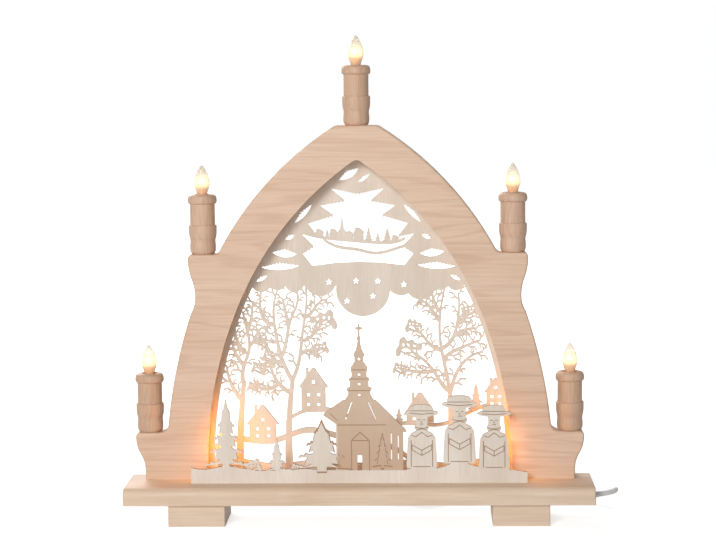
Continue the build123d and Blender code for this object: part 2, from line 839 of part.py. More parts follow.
def coil_state(turns):
    """Place and direction on the coil's middle line after a number of turns from its start."""
    reverse = 0.5
    inner = coil_outer_radius - coil_pitch * coil_turns_each_way
    step = coil_pitch
    if turns <= coil_turns_each_way:
        radius = coil_outer_radius - coil_pitch * turns
        rate = -coil_pitch
        rise = 0
        rise_rate = 0
    elif turns <= coil_turns_each_way + reverse:
        part = (turns - coil_turns_each_way) / reverse
        radius = inner - coil_pitch * reverse * (part - part ** 2)
        rate = -coil_pitch * (1 - 2 * part)
        rise = step * (1 - math.cos(math.pi * part)) / 2
        rise_rate = step * math.pi * math.sin(math.pi * part) / 2 / reverse
    else:
        past = turns - coil_turns_each_way - reverse
        radius = inner + coil_pitch * past
        rate = coil_pitch
        rise = step
        rise_rate = 0
    angle = -math.pi / 2 - 2 * math.pi * turns
    around = Vector(math.cos(angle), math.sin(angle), 0)
    ahead = Vector(math.sin(angle), -math.cos(angle), 0)
    place = Vector(coil_center[0], coil_center[1], cord_radius + fit_gap + rise) + around * radius
    direction = ahead * (2 * math.pi * radius) + around * rate + Vector(0, 0, rise_rate)
    return place, direction.normalized()


def biarc(start, start_way, end, end_way):
    """Two arcs that leave start and reach end along the given directions."""
    chord = end - start
    ways = start_way + end_way
    a = 2 * (start_way.dot(end_way) - 1)
    b = -2 * chord.dot(ways)
    c = chord.dot(chord)
    reach = -c / b if a > -1e-9 else (-b - math.sqrt(b * b - 4 * a * c)) / (2 * a)
    joint = (start + start_way * reach + end - end_way * reach) * 0.5
    first = TangentArc(start, joint, tangent=start_way)
    second = TangentArc(joint, end, tangent=first % 1)
    return [first, second]


def coil_turn_count():
    return 2 * coil_turns_each_way + 0.5


def coil_edges():
    """Arcs of the whole coil, a biarc for every quarter turn, with a straight end at each side."""
    steps = round(coil_turn_count() * 4)
    states = [coil_state(index / 4) for index in range(steps + 1)]
    lead_in = Line(states[0][0] - states[0][1] * 2 * cord_radius, states[0][0])
    edges = [lead_in]
    for (start, start_way), (end, end_way) in zip(states, states[1:]):
        edges += biarc(start, start_way, end, end_way)
    edges.append(Line(states[-1][0], states[-1][0] + states[-1][1] * 2 * cord_radius))
    return edges


def coil_gap():
    """Least distance between the coil's surfaces one or more turns apart, measured on points."""
    per_turn = 48
    total = round(coil_turn_count() * per_turn)
    places = [coil_state(index / per_turn)[0] for index in range(total + 1)]
    least = min((places[i] - places[j]).length
                for i in range(total + 1) for j in range(i + per_turn // 2, total + 1))
    return least - 2 * cord_radius


def cord_coil():
    """Put-away length of the lead: loops that spiral in, climb a layer and spiral out again."""
    path = Wire(coil_edges())
    start = path @ 0
    coil = sweep(Plane(start, z_dir=path % 0) * Circle(cord_radius), path)
    expected = math.pi * cord_radius ** 2 * path.length
    print("coil length", round(path.length, 1), "least gap", round(coil_gap(), 2),
          "volume share", round(coil.volume / expected, 4))
    return coil


def cord():
    """Free stretch of the lead from the channel in the board to its coil."""
    place, way = coil_state(0)
    coil_end = place - way * 2 * cord_radius
    before = coil_end - way * cord_last_run
    points = [(cord_start, cord_exit_back, cord_height)] + cord_route + [tuple(before), tuple(coil_end)]
    return tube(points, "cord")


def tail_points():
    """Short stretch from the coil's upper layer to the plug's neck."""
    place, way = coil_state(coil_turn_count())
    start = place + way * 2 * cord_radius
    return [start, start + way * cord_tail_run, plug_neck_end() + Vector(cord_tail_run, 0, 0),
            plug_neck_end()]


def plug_neck_end():
    """Where the lead enters the plug, which lies flat on the floor with its pins to the left."""
    place, way = coil_state(coil_turn_count())
    away = 2 * plug_width
    return Vector(place.X - away, place.Y - plug_nose_width / 4, plug_thickness / 2)


def plug_body():
    """Flat moulded plug with a waist for the fingers and a tapered neck round the lead."""
    half_nose = plug_nose_width / 2
    half_wide = plug_width / 2
    half_waist = plug_waist_width / 2
    shoulder = plug_body_length * plug_shoulder_share
    back = plug_body_length
    right = [Line((0, 0), (half_nose, 0)),
             Line((half_nose, 0), (half_wide, shoulder)),
             Spline((half_wide, shoulder), (half_waist, back), tangents=[(-0.3, 1), (-0.25, 1)]),
             Line((half_waist, back), (0, back))]
    face = make_face(right + [edge.mirror(Plane.YZ) for edge in right])
    slab = extrude(face, amount=plug_thickness)
    slab = fillet(slab.edges().filter_by(Plane.XY), plug_edge_round)
    neck = Pos(0, back, plug_thickness / 2) * Rot(-90, 0, 0) * Cone(
        half_waist - plug_edge_round, plug_neck_radius, plug_neck_length,
        align=(Align.CENTER, Align.CENTER, Align.MIN))
    return plug_place() * (slab + neck - plug_pins_local(fit_gap))


def plug_place():
    """Turns the plug's own frame, with its pins towards -Y, onto the floor behind the board."""
    end = plug_neck_end()
    return Pos(end.X - plug_body_length - plug_neck_length, end.Y, 0) * Rot(0, 0, -90)


def plug_pins_local(grow=0.0):
    """Two round pins with domed tips, held in the plug's nose."""
    held = plug_body_length * plug_shoulder_share
    pins = []
    for side in (-1, 1):
        pin = Pos(0, 0, held) * Cylinder(plug_pin_radius, plug_pin_length,
                                         align=(Align.CENTER, Align.CENTER, Align.MIN))
        pin = fillet(pin.edges().sort_by(Axis.Z)[-1], plug_pin_tip)
        pin += Cylinder(plug_root_radius + grow, held, align=(Align.CENTER, Align.CENTER, Align.MIN))
        pins.append(Pos(side * plug_pin_spacing / 2, held, plug_thickness / 2) * Rot(90, 0, 0) * pin)
    return pins


def plug_pins():
    return group([plug_place() * pin for pin in plug_pins_local()])


# Fretwork pictures. Places are shares of the opening's half width and of its height above the
# board; sizes of motifs are shares of that height.
picture_half = opening_reach(0, 0)
picture_height = apex_height(0)
trunk_width = 7.0
limb_width = 3.8
limb_tip_width = 1.7
twig_width = 1.4
twig_length = 10.5
engraving_width = 0.7
engraving_depth = 0.6
slit_width = 0.9
drift_thickness = 3.2
village_ground_thickness = 2.6
star_radius = 3.6
star_inner_share = 0.45
window_size = 3.0
chimney_width = 2.4
hole_radius = 1.3
needle_depth = 1.7
needle_gap = 3.3


def spot(x_share, height_share):
    """Point of the picture."""
    return (x_share * picture_half, height_share * picture_height)


def spots(shares):
    return [spot(x, y) for x, y in shares]


def polygon(points):
    return make_face(Polyline(*points, close=True))


def block(x, y, width, height):
    """Upright rectangle on the middle of its lower edge."""
    half = width / 2
    return polygon([(x - half, y), (x + half, y), (x + half, y + height), (x - half, y + height)])


def disc(x, y, radius):
    return Pos(x, y) * Circle(radius)


def step(point, angle, length):
    """Point at a length from another in a direction in degrees."""
    turn = math.radians(angle)
    return (point[0] + length * math.cos(turn), point[1] + length * math.sin(turn))


def heading(start, end):
    return math.degrees(math.atan2(end[1] - start[1], end[0] - start[0]))


def tapered(start, end, start_width, end_width):
    """Straight piece of a twig, narrower at its end, with pointed ends that hide the joints."""
    angle = heading(start, end)
    return polygon([step(start, angle + 180, start_width / 2), step(start, angle - 90, start_width / 2),
                    step(end, angle - 90, end_width / 2), step(end, angle, end_width / 2),
                    step(end, angle + 90, end_width / 2), step(start, angle + 90, start_width / 2)])


def line_mark(points, width):
    """Bent line of an even width."""
    return [tapered(start, end, width, width) for start, end in zip(points, points[1:])]


limb_steps = 5


def limb(points, start_width, end_width):
    """Curved limb along a smooth line through points, tapering to its end."""
    line = Spline(*points)
    left = []
    right = []
    for index in range(limb_steps):
        share = index / (limb_steps - 1)
        half = (start_width + (end_width - start_width) * share) / 2
        here = line @ share
        way = line % share
        left.append((here.X - way.Y * half, here.Y + way.X * half))
        right.append((here.X + way.Y * half, here.Y - way.X * half))
    right.reverse()
    return make_face([Spline(*left), Line(left[-1], right[0]), Spline(*right), Line(right[-1], left[0])])


def bent(points, start_width, end_width):
    """Narrow bent strip through points, narrower at its end, with a pointed tip."""
    left = []
    right = []
    last = len(points) - 1
    for index, point in enumerate(points):
        angle = heading(points[max(index - 1, 0)], points[min(index + 1, last)])
        half = (start_width + (end_width - start_width) * index / last) / 2
        left.append(step(point, angle + 90, half))
        right.append(step(point, angle - 90, half))
    angle = heading(points[-2], points[-1])
    return polygon(right + [step(points[-1], angle, end_width / 2)] + left[::-1])


twig_place_shares = (0.14, 0.27, 0.40, 0.53, 0.66, 0.78, 0.89, 0.98)
twig_shoot_share = 0.46
twig_angle = 50
twig_curl = 26


def twigs(points, first_side):
    """Curling twigs to alternate sides of a limb, each with two side shoots."""
    line = Spline(*points)
    faces = []
    side = first_side
    for index, share in enumerate(twig_place_shares):
        here = ((line @ share).X, (line @ share).Y)
        way = line % share
        angle = math.degrees(math.atan2(way.Y, way.X)) + side * twig_angle
        reach = twig_length * (1 - share / 4) * (1 - (index % 3) / 5)
        middle = step(here, angle, reach / 2)
        tip = step(middle, angle - side * twig_curl, reach / 2)
        faces.append(bent([here, middle, tip], twig_width, twig_width))
        shoot = reach * twig_shoot_share
        faces.append(tapered(middle, step(middle, angle + side * twig_angle, shoot), twig_width, twig_width))
        faces.append(tapered(tip, step(tip, angle + side * twig_curl, shoot), twig_width, twig_width))
        side = -side
    return faces


def tree(trunk_shares, limb_shares):
    """Bare tree: a trunk and curved limbs through points of the picture, with twigs on each limb."""
    faces = [limb(spots(trunk_shares), trunk_width, limb_width)]
    side = 1
    for shares in limb_shares:
        points = spots(shares)
        faces.append(limb(points, limb_width, limb_tip_width))
        faces += twigs(points, side)
        side = -side
    return faces


tuft_outline_shares = [(-1.00, -0.06), (-0.88, 0.34), (-0.50, 0.38), (-0.26, 0.66), (0.08, 0.54),
                       (0.38, 0.84), (0.74, 0.66), (0.80, 0.24), (1.02, -0.12), (0.94, -0.66),
                       (0.70, -0.56), (0.58, -0.16), (0.18, -0.04), (-0.20, -0.22), (-0.62, -0.10)]
tuft_hole_shares = [((-0.52, 0.02), (-0.34, 0.26)), ((-0.02, 0.10), (0.14, 0.36)),
                    ((0.42, 0.04), (0.46, 0.40))]
tuft_stem_shares = [(-0.50, 0.0), (0.10, 0.10), (0.80, -0.20)]
tuft_root_share = (-0.80, -0.95)
tuft_hole_width_share = 0.16


def tuft(x, y, width, side):
    """Flat-bottomed mass of foliage on three short stems; returns its faces and its small holes."""
    reach = width / 2

    def place(share):
        return (x + side * reach * share[0], y + reach * share[1])

    outline = [place(share) for share in tuft_outline_shares]
    faces = [make_face(Spline(*outline, periodic=True))]
    for share in tuft_stem_shares:
        faces.append(tapered(place(tuft_root_share), place(share), twig_width, twig_width))
    holes = [lens(place(start), place(end), reach * tuft_hole_width_share) for start, end in tuft_hole_shares]
    return faces, holes


fir_tier_shares = ((1.00, -0.20), (0.88, 0.05), (0.79, -0.04), (0.68, 0.20), (0.58, 0.12), (0.46, 0.88))
plain_tier_shares = ((1.00, 0.0), (0.42, 0.92))
fir_trunk_width_share = 0.08
fir_hole_shares = (0.30, 0.62, 0.10, 0.34)


def fir(x, base, height, width, tiers, tier_shares=fir_tier_shares, trunk_share=0.10):
    """Fir with tiers of boughs, each narrower than the one below."""
    half = width / 2
    low = base + height * trunk_share
    rise = height * (1 - trunk_share) / tiers
    trunk = width * fir_trunk_width_share
    right = [(x + trunk, base), (x + trunk, low)]
    for index in range(tiers):
        reach = half * (1 - index / tiers)
        for reach_share, rise_share in tier_shares:
            right.append((x + reach * reach_share, low + rise * (index + rise_share)))
    right[-1] = (x, base + height)
    left = [(2 * x - px, py) for px, py in reversed(right[:-1])]
    return polygon(right + left)


def fir_holes(x, base, height, width, tiers, trunk_share=0.10):
    """Leaf-shaped holes in the lower tiers of a large fir, one to each side in turn."""
    low = base + height * trunk_share
    rise = height * (1 - trunk_share) / tiers
    near, far, down, up = fir_hole_shares
    holes = []
    for index in range(tiers - 2):
        reach = width / 2 * (1 - index / tiers)
        for side in (-1, 1):
            start = (x + side * reach * near, low + rise * (index + up))
            end = (x + side * reach * far, low + rise * (index + down))
            holes.append(lens(start, end, rise / 5))
    return holes


house_outline_shares = [(-1.0, 0, 0), (1.0, 0, 0), (1.0, 1, 0), (1.22, 1, 0), (0.12, 1, 1), (-0.12, 1, 1),
                        (-1.22, 1, 0), (-1.0, 1, 0)]
house_window_shares = [(-0.42, 0.22), (0.42, 0.22), (0.0, 1.14)]
upper_window_shares = [(-0.42, 0.62), (0.42, 0.62)]
window_height_share = 1.15


def house(x, base, width, wall, roof):
    """Gabled house with eaves and a chimney; returns its faces and its window holes."""
    half = width / 2
    outline = polygon([(x + half * across, base + wall * walls + roof * roofs)
                       for across, walls, roofs in house_outline_shares])
    chimney = block(x - half / 2, base + wall, chimney_width, roof)
    places = list(house_window_shares)
    if wall > 4 * window_size:
        places += upper_window_shares
    holes = [block(x + half * across, base + wall * up, window_size, window_size * window_height_share)
             for across, up in places]
    return [outline, chimney], holes


def drift(points, thickness):
    """Snow drift: a smooth line through points with an even depth below it."""
    low_points = [(x, y - thickness) for x, y in reversed(points)]
    return make_face([Spline(*points), Line(points[-1], low_points[0]), Spline(*low_points),
                      Line(low_points[-1], points[0])])


def ground_face(points, bottom):
    """Ground with a smooth rolling top through points and a level bottom."""
    right = (points[-1][0], bottom)
    left = (points[0][0], bottom)
    return make_face([Spline(*points), Line(points[-1], right), Line(right, left), Line(left, points[0])])


def star(x, y, radius):
    points = []
    for index in range(10):
        reach = radius if index % 2 == 0 else radius * star_inner_share
        points.append(step((x, y), 90 + 36 * index, reach))
    return polygon(points)


def lens(start, end, width):
    """Leaf-shaped opening between two points."""
    angle = heading(start, end)
    middle = ((start[0] + end[0]) / 2, (start[1] + end[1]) / 2)
    over = ThreePointArc(start, step(middle, angle + 90, width / 2), end)
    under = ThreePointArc(end, step(middle, angle - 90, width / 2), start)
    return make_face([over, under])


def needled(start, end, start_depth, end_depth):
    """Points of an edge with short slanting needles on its left side."""
    length = math.dist(start, end)
    count = max(1, round(length / needle_gap))
    angle = heading(start, end)
    points = [start]
    for index in range(count):
        root = step(start, angle, length * (index + 0.10) / count)
        far = step(start, angle, length * (index + 0.65) / count)
        depth = start_depth + (end_depth - start_depth) * (index + 0.5) / count
        points += [root, step(far, angle + 90, depth), far]
    return points


leaf_edge_shares = ((0.2, 0.32), (0.4, 0.48), (0.6, 0.48), (0.8, 0.32))
needle_root_share = 0.15


def needled_leaf(start, end, width):
    """Leaf-shaped opening between two points, with needles along its upper edge."""
    angle = heading(start, end)
    length = math.dist(start, end)
    full = min(needle_depth, width / 3)
    low = [step(step(start, angle, length * along), angle - 90, width * across)
           for along, across in leaf_edge_shares]
    top = step(step(start, angle, length / 2), angle + 90, width / 2)
    back = needled(end, top, full * needle_root_share, full)
    return polygon([start] + low + back + needled(top, start, full, full * needle_root_share))


# Rear picture
middle_trunk_shares = [(-0.47, 0.02), (-0.470, 0.16), (-0.440, 0.31)]
middle_limb_shares = [[(-0.444, 0.300), (-0.497, 0.349), (-0.536, 0.415), (-0.558, 0.481), (-0.560, 0.541),
                       (-0.522, 0.600)],
                      [(-0.555, 0.478), (-0.629, 0.497), (-0.651, 0.544), (-0.640, 0.595)],
                      [(-0.508, 0.380), (-0.475, 0.439), (-0.459, 0.481), (-0.415, 0.530), (-0.425, 0.600)],
                      [(-0.462, 0.475), (-0.485, 0.520), (-0.500, 0.560)],
                      [(-0.440, 0.305), (-0.404, 0.362), (-0.371, 0.415), (-0.373, 0.481), (-0.343, 0.534),
                       (-0.350, 0.600)],
                      [(-0.368, 0.500), (-0.299, 0.523), (-0.255, 0.549), (-0.205, 0.556)],
                      [(-0.368, 0.425), (-0.294, 0.449), (-0.245, 0.478)],
                      [(-0.385, 0.385), (-0.321, 0.396), (-0.270, 0.392)],
                      [(-0.460, 0.262), (-0.541, 0.294), (-0.575, 0.325), (-0.590, 0.365)],
                      [(-0.500, 0.350), (-0.560, 0.362), (-0.640, 0.346)],
                      [(-0.541, 0.288), (-0.618, 0.272), (-0.690, 0.284)]]
edge_trunk_shares = [(-0.80, 0.03), (-0.79, 0.16), (-0.765, 0.30)]
edge_limb_shares = [[(-0.768, 0.290), (-0.755, 0.360), (-0.723, 0.418), (-0.740, 0.460), (-0.765, 0.520)],
                    [(-0.728, 0.410), (-0.679, 0.444), (-0.640, 0.470), (-0.600, 0.450)],
                    [(-0.700, 0.430), (-0.650, 0.425), (-0.605, 0.415)],
                    [(-0.745, 0.445), (-0.710, 0.500), (-0.700, 0.550)],
                    [(-0.765, 0.350), (-0.805, 0.375), (-0.840, 0.425)],
                    [(-0.785, 0.240), (-0.850, 0.290), (-0.880, 0.350)],
                    [(-0.755, 0.385), (-0.800, 0.420), (-0.820, 0.470)]]
right_trunk_shares = [(0.60, 0.03), (0.605, 0.13), (0.595, 0.27)]
right_limb_shares = [[(0.596, 0.260), (0.563, 0.350), (0.542, 0.400), (0.531, 0.450), (0.531, 0.500),
                      (0.557, 0.545), (0.573, 0.600)],
                     [(0.600, 0.260), (0.640, 0.318), (0.703, 0.363), (0.750, 0.378), (0.818, 0.388)],
                     [(0.548, 0.400), (0.625, 0.438), (0.646, 0.473), (0.660, 0.520), (0.655, 0.575)],
                     [(0.625, 0.438), (0.698, 0.458), (0.776, 0.462)],
                     [(0.646, 0.475), (0.690, 0.490), (0.730, 0.520)],
                     [(0.560, 0.365), (0.620, 0.390), (0.667, 0.400), (0.740, 0.415), (0.800, 0.425)],
                     [(0.546, 0.395), (0.458, 0.418), (0.405, 0.450), (0.372, 0.464)],
                     [(0.590, 0.265), (0.510, 0.313), (0.469, 0.343), (0.427, 0.363), (0.350, 0.390)],
                     [(0.490, 0.328), (0.400, 0.325), (0.300, 0.333)],
                     [(0.532, 0.495), (0.484, 0.520), (0.440, 0.545), (0.385, 0.548)],
                     [(0.535, 0.515), (0.490, 0.560), (0.480, 0.600)]]
tuft_shares = [(-0.235, 0.489, 0.082, 1), (-0.255, 0.402, 0.050, 1), (-0.590, 0.380, 0.046, -1),
               (-0.665, 0.340, 0.046, -1), (-0.705, 0.282, 0.036, -1), (0.360, 0.472, 0.050, -1),
               (0.330, 0.402, 0.080, -1), (0.268, 0.337, 0.044, -1), (0.730, 0.520, 0.050, 1)]
rear_ground_shares = [(-1.00, 0.045), (-0.82, 0.052), (-0.58, 0.034), (-0.30, 0.046), (0.0, 0.036),
                      (0.30, 0.045), (0.62, 0.036), (0.84, 0.050), (1.00, 0.040)]
near_hill_shares = [(-1.00, 0.080), (-0.80, 0.122), (-0.58, 0.116), (-0.36, 0.150), (-0.12, 0.128),
                    (0.12, 0.110), (0.36, 0.040)]
far_hill_shares = [(-0.49, 0.172), (-0.33, 0.212), (-0.14, 0.205), (0.08, 0.160), (0.30, 0.168),
                   (0.54, 0.164), (0.74, 0.206), (1.00, 0.226)]
rear_house_shares = [(-0.645, 0.105, 0.084, 0.056, 0.060), (-0.305, 0.200, 0.076, 0.078, 0.062),
                     (0.40, 0.165, 0.086, 0.024, 0.070), (0.90, 0.205, 0.058, 0.056, 0.044)]
rear_fir_shares = [(0.26, 0.155, 0.060, 0.036, 4), (0.77, 0.200, 0.094, 0.052, 4)]
cloud_lobe_shares = [(-0.250, 0.617, 0.105), (0.030, 0.588, 0.178), (0.280, 0.614, 0.096),
                     (0.410, 0.604, 0.104), (-0.420, 0.612, 0.066), (-0.530, 0.614, 0.058),
                     (-0.640, 0.612, 0.066), (0.540, 0.614, 0.062), (0.640, 0.612, 0.060)]
star_place_shares = [(-0.194, 0.611), (-0.016, 0.614), (0.127, 0.613), (-0.077, 0.551), (0.094, 0.566),
                     (0.298, 0.602)]
cloud_foot_share = 0.600
window_foot_shares = [(-0.15, 0.671), (0.0, 0.674), (0.15, 0.671)]
window_side_shares = [(0.303, 0.662), (0.365, 0.700), (0.292, 0.724), (0.374, 0.763), (0.262, 0.754),
                      (0.331, 0.795), (0.160, 0.821), (0.250, 0.851), (0.085, 0.866), (0.178, 0.905),
                      (0.0, 0.888)]
side_leaf_shares = [((0.381, 0.664), (0.647, 0.659), 0.024), ((0.400, 0.700), (0.569, 0.706), 0.028),
                    ((0.418, 0.762), (0.480, 0.745), 0.016), ((0.299, 0.857), (0.418, 0.796), 0.018),
                    ((0.600, 0.634), (0.676, 0.614), 0.014)]
crown_leaf_shares = [((-0.123, 0.930), (0.010, 0.968), 0.026), ((0.0, 0.922), (0.083, 0.950), 0.012)]
village_ground_shares = [(-0.34, 0.768), (-0.247, 0.757), (-0.10, 0.748), (0.0, 0.744), (0.14, 0.738),
                         (0.24, 0.740), (0.31, 0.752)]
lower_ground_shares = [(-0.229, 0.752), (-0.11, 0.724), (0.0, 0.717), (0.101, 0.706), (0.212, 0.714),
                       (0.34, 0.735)]
village_house_shares = [(-0.252, 0.750, 0.024, 0.016, 0.012), (-0.160, 0.745, 0.024, 0.020, 0.013),
                        (-0.052, 0.741, 0.022, 0.018, 0.011), (0.005, 0.738, 0.030, 0.028, 0.015),
                        (0.245, 0.735, 0.022, 0.012, 0.010)]
village_fir_shares = [(-0.202, 0.748, 0.030, 0.016, 3), (0.069, 0.737, 0.046, 0.024, 4),
                      (0.129, 0.733, 0.032, 0.020, 3), (0.192, 0.734, 0.046, 0.030, 4)]
village_church_shares = (-0.105, 0.742, 0.032, 0.074)
chapel_outline_shares = [(-1.0, 0.0), (1.0, 0.0), (1.0, 0.26), (1.2, 0.26), (0.35, 0.48), (0.0, 1.0),
                         (-0.35, 0.48), (-1.2, 0.26), (-1.0, 0.26)]


def placed_houses(shares):
    """Houses at places and sizes given in shares; returns their faces and window holes."""
    faces = []
    holes = []
    for x_share, base_share, width_share, wall_share, roof_share in shares:
        x, base = spot(x_share, base_share)
        more, windows = house(x, base, width_share * picture_height, wall_share * picture_height,
                              roof_share * picture_height)
        faces += more
        holes += windows
    return faces, holes


def placed_firs(shares, tier_shares=fir_tier_shares):
    faces = []
    for x_share, base_share, height_share, width_share, tiers in shares:
        x, base = spot(x_share, base_share)
        faces.append(fir(x, base, height_share * picture_height, width_share * picture_height, tiers,
                         tier_shares))
    return faces


def village():
    """Tiny church, houses and firs on a strip across the upper window."""
    faces = [drift(spots(village_ground_shares), village_ground_thickness),
             drift(spots(lower_ground_shares), village_ground_thickness)]
    x_share, base_share, width_share, height_share = village_church_shares
    x, base = spot(x_share, base_share)
    half = width_share * picture_height / 2
    height = height_share * picture_height
    faces.append(polygon([(x + half * across, base + height * up) for across, up in chapel_outline_shares]))
    faces += placed_houses(village_house_shares)[0]
    return faces + placed_firs(village_fir_shares, plain_tier_shares)


def upper_window():
    """Opening of the upper scene, with needled fir boughs reaching in from both sides."""
    points = spots(window_side_shares)
    right = [points[0]]
    for tip, inner in zip(points[1::2], points[2::2]):
        right += needled(tip, inner, needle_depth * needle_root_share, needle_depth) + [inner]
    left = [(-x, y) for x, y in reversed(right[:-1])]
    return polygon(spots(window_foot_shares) + right + left)


def sky_holes():
    """Stars and leaf-shaped openings."""
    holes = [star(x, y, star_radius) for x, y in spots(star_place_shares)]
    for start, end, width_share in side_leaf_shares:
        leaf = needled_leaf(spot(*start), spot(*end), width_share * picture_height)
        holes += [leaf, mirror(leaf, about=Plane.YZ)]
    for start, end, width_share in crown_leaf_shares:
        holes.append(needled_leaf(spot(*start), spot(*end), width_share * picture_height))
    return holes


def rear_picture():
    """Face of the rear sheet: border, trees, houses, hills, clouds and the upper scene."""
    outer = pointed_face(rear_overlap, 0)
    border = outer - pointed_face(-rear_border, rear_ground)
    crown = pointed_face(0, cloud_foot_share * picture_height)
    faces = [border, crown, ground_face(spots(rear_ground_shares), 0)]
    faces += [drift(spots(near_hill_shares), drift_thickness * 1.6),
              drift(spots(far_hill_shares), drift_thickness)]
    more, holes = placed_houses(rear_house_shares)
    faces += more + placed_firs(rear_fir_shares)
    faces += tree(middle_trunk_shares, middle_limb_shares)
    faces += tree(edge_trunk_shares, edge_limb_shares)
    faces += tree(right_trunk_shares, right_limb_shares)
    for x_share, y_share, width_share, side in tuft_shares:
        x, y = spot(x_share, y_share)
        more, gaps = tuft(x, y, width_share * picture_height, side)
        faces += more
        holes += gaps
    for x_share, y_share, radius_share in cloud_lobe_shares:
        x, y = spot(x_share, y_share)
        faces.append(disc(x, y, radius_share * picture_half))
    drawn = Sketch() + faces
    drawn = drawn - (holes + sky_holes() + [upper_window()])
    drawn = drawn + village()
    return drawn & outer


def rear_fretwork():
    """Rear plywood sheet, glued and nailed behind the opening."""
    sheet = upright(rear_picture(), arch_back, sheet_thickness)
    return sheet - [place * rear_pin(fit_gap) for place in rear_pin_places()]


# Front picture
front_ground_shares = [(-1.0, 1.34), (-0.9, 1.20), (-0.79, 1.45), (-0.65, 1.14), (-0.49, 1.10),
                       (-0.32, 1.23), (-0.21, 1.10), (-0.1, 1.13), (0.0, 1.05), (0.14, 1.13), (0.27, 1.10),
                       (0.375, 1.36), (0.485, 1.27), (0.595, 1.82), (0.68, 1.45), (0.80, 1.32),
                       (0.91, 1.09), (1.0, 0.89)]
front_fir_shares = [(-0.863, 0.040, 0.225, 0.132, 5), (-0.534, 0.032, 0.108, 0.066, 4),
                    (-0.240, 0.032, 0.168, 0.196, 4)]
front_bush_shares = [(-0.690, 0.030, 0.050, 1), (-0.405, 0.030, 0.034, -1)]
church_fir_shares = (0.155, 0.042, 0.118, 0.064, 5)
church_height = 135.0
church_base = 12.0
church_axis = 1.0
tower_side_shares = [(0.097, 0.482), (0.086, 0.500), (0.075, 0.520), (0.075, 0.545), (0.084, 0.548),
                     (0.084, 0.562), (0.064, 0.572), (0.062, 0.612), (0.070, 0.616), (0.070, 0.628),
                     (0.052, 0.640), (0.050, 0.668), (0.058, 0.690), (0.056, 0.706), (0.036, 0.736),
                     (0.030, 0.742), (0.030, 0.780), (0.038, 0.784), (0.036, 0.796), (0.022, 0.822),
                     (0.012, 0.860), (0.007, 0.905)]
church_right_shares = [(0.296, -0.02), (0.296, 0.262), (0.318, 0.262), (0.312, 0.278), (0.110, 0.482)]
church_left_shares = [(-0.110, 0.482), (-0.236, 0.396), (-0.246, 0.380), (-0.160, 0.318), (-0.160, -0.02)]
church_cross_share = 0.965
church_slit_shares = [((-0.052, 0.466), (-0.096, 0.345)), ((0.060, 0.466), (0.112, 0.345)),
                      ((0.215, 0.07), (0.215, 0.25)), ((0.262, 0.07), (0.262, 0.235))]
church_line_shares = [[(-0.150, 0.312), (0.180, 0.312)], [(-0.056, 0.205), (0.004, 0.262), (0.066, 0.205)],
                      [(-0.056, 0.0), (-0.056, 0.205), (0.066, 0.205), (0.066, 0.0)],
                      [(-0.070, 0.548), (0.070, 0.548)], [(-0.056, 0.628), (0.056, 0.628)],
                      [(-0.045, 0.690), (0.045, 0.690)], [(-0.200, 0.392), (-0.150, 0.345)]]
church_round_shares = [(0.0, 0.515), (0.0, 0.590), (0.0, 0.655), (0.0, 0.762)]
door_width = 4.4
door_height = 14.0
singer_place_shares = [(0.375, 1.23, 0.199), (0.599, 1.64, 0.212), (0.803, 1.14, 0.200)]
singer_outline_shares = [(0.225, 0.0), (0.238, 0.05), (0.226, 0.30), (0.212, 0.47), (0.168, 0.545),
                         (0.100, 0.578), (0.080, 0.600), (0.112, 0.622), (0.108, 0.662), (0.088, 0.690),
                         (0.092, 0.790), (0.100, 0.822), (0.205, 0.836), (0.262, 0.862), (0.250, 0.888),
                         (0.185, 0.902), (0.176, 0.940), (0.150, 0.976), (0.070, 0.998)]
singer_line_shares = [[(-0.150, 0.370), (0.0, 0.285), (0.150, 0.370)],
                      [(-0.150, 0.290), (0.0, 0.205), (0.150, 0.290)],
                      [(-0.150, 0.370), (-0.150, 0.290)], [(0.150, 0.370), (0.150, 0.290)],
                      [(0.0, 0.285), (0.0, 0.205)],
                      [(-0.160, 0.520), (-0.090, 0.500), (0.0, 0.570), (0.090, 0.500), (0.160, 0.520)],
                      [(-0.165, 0.03), (-0.165, 0.440)], [(0.165, 0.03), (0.165, 0.440)],
                      [(-0.090, 0.600), (0.0, 0.625), (0.090, 0.600)],
                      [(-0.185, 0.868), (0.0, 0.852), (0.185, 0.868)], [(-0.170, 0.905), (0.170, 0.905)],
                      [(-0.130, 0.03), (0.130, 0.03)],
                      [(-0.052, 0.765), (-0.022, 0.765)], [(0.022, 0.765), (0.052, 0.765)],
                      [(0.0, 0.745), (0.0, 0.722)], [(-0.026, 0.698), (0.026, 0.698)],
                      [(-0.100, 0.648), (-0.040, 0.632), (0.040, 0.632), (0.100, 0.648)]]


def church_points(shares):
    return [(church_axis + x * church_height, church_base + y * church_height) for x, y in shares]


def church():
    """Church front with a stepped tower, an onion roof and a cross."""
    left_tower = [(-x, y) for x, y in reversed(tower_side_shares)]
    outline = polygon(church_points(church_right_shares + tower_side_shares + left_tower
                                    + church_left_shares))
    low = church_points([(0, tower_side_shares[-1][1])])[0]
    top = church_base + church_height
    arm = church_base + church_cross_share * church_height
    reach = door_width * 0.7
    faces = [outline, block(low[0], low[1] - slit_width, 2 * slit_width, top - low[1] + slit_width),
             block(church_axis, arm, 2 * reach, 2 * slit_width), disc(low[0], low[1], 2 * slit_width)]
    holes = [block(church_axis, church_base, door_width, door_height)]
    for points in church_slit_shares:
        holes += line_mark(church_points(points), slit_width)
    for x, y in church_points(church_round_shares):
        holes.append(disc(x, y, hole_radius))
    return faces, holes


def singer_places():
    """Middle, foot and height of each carol singer."""
    return [(across * front_half_length, up * front_strip_height, height * picture_height)
            for across, up, height in singer_place_shares]


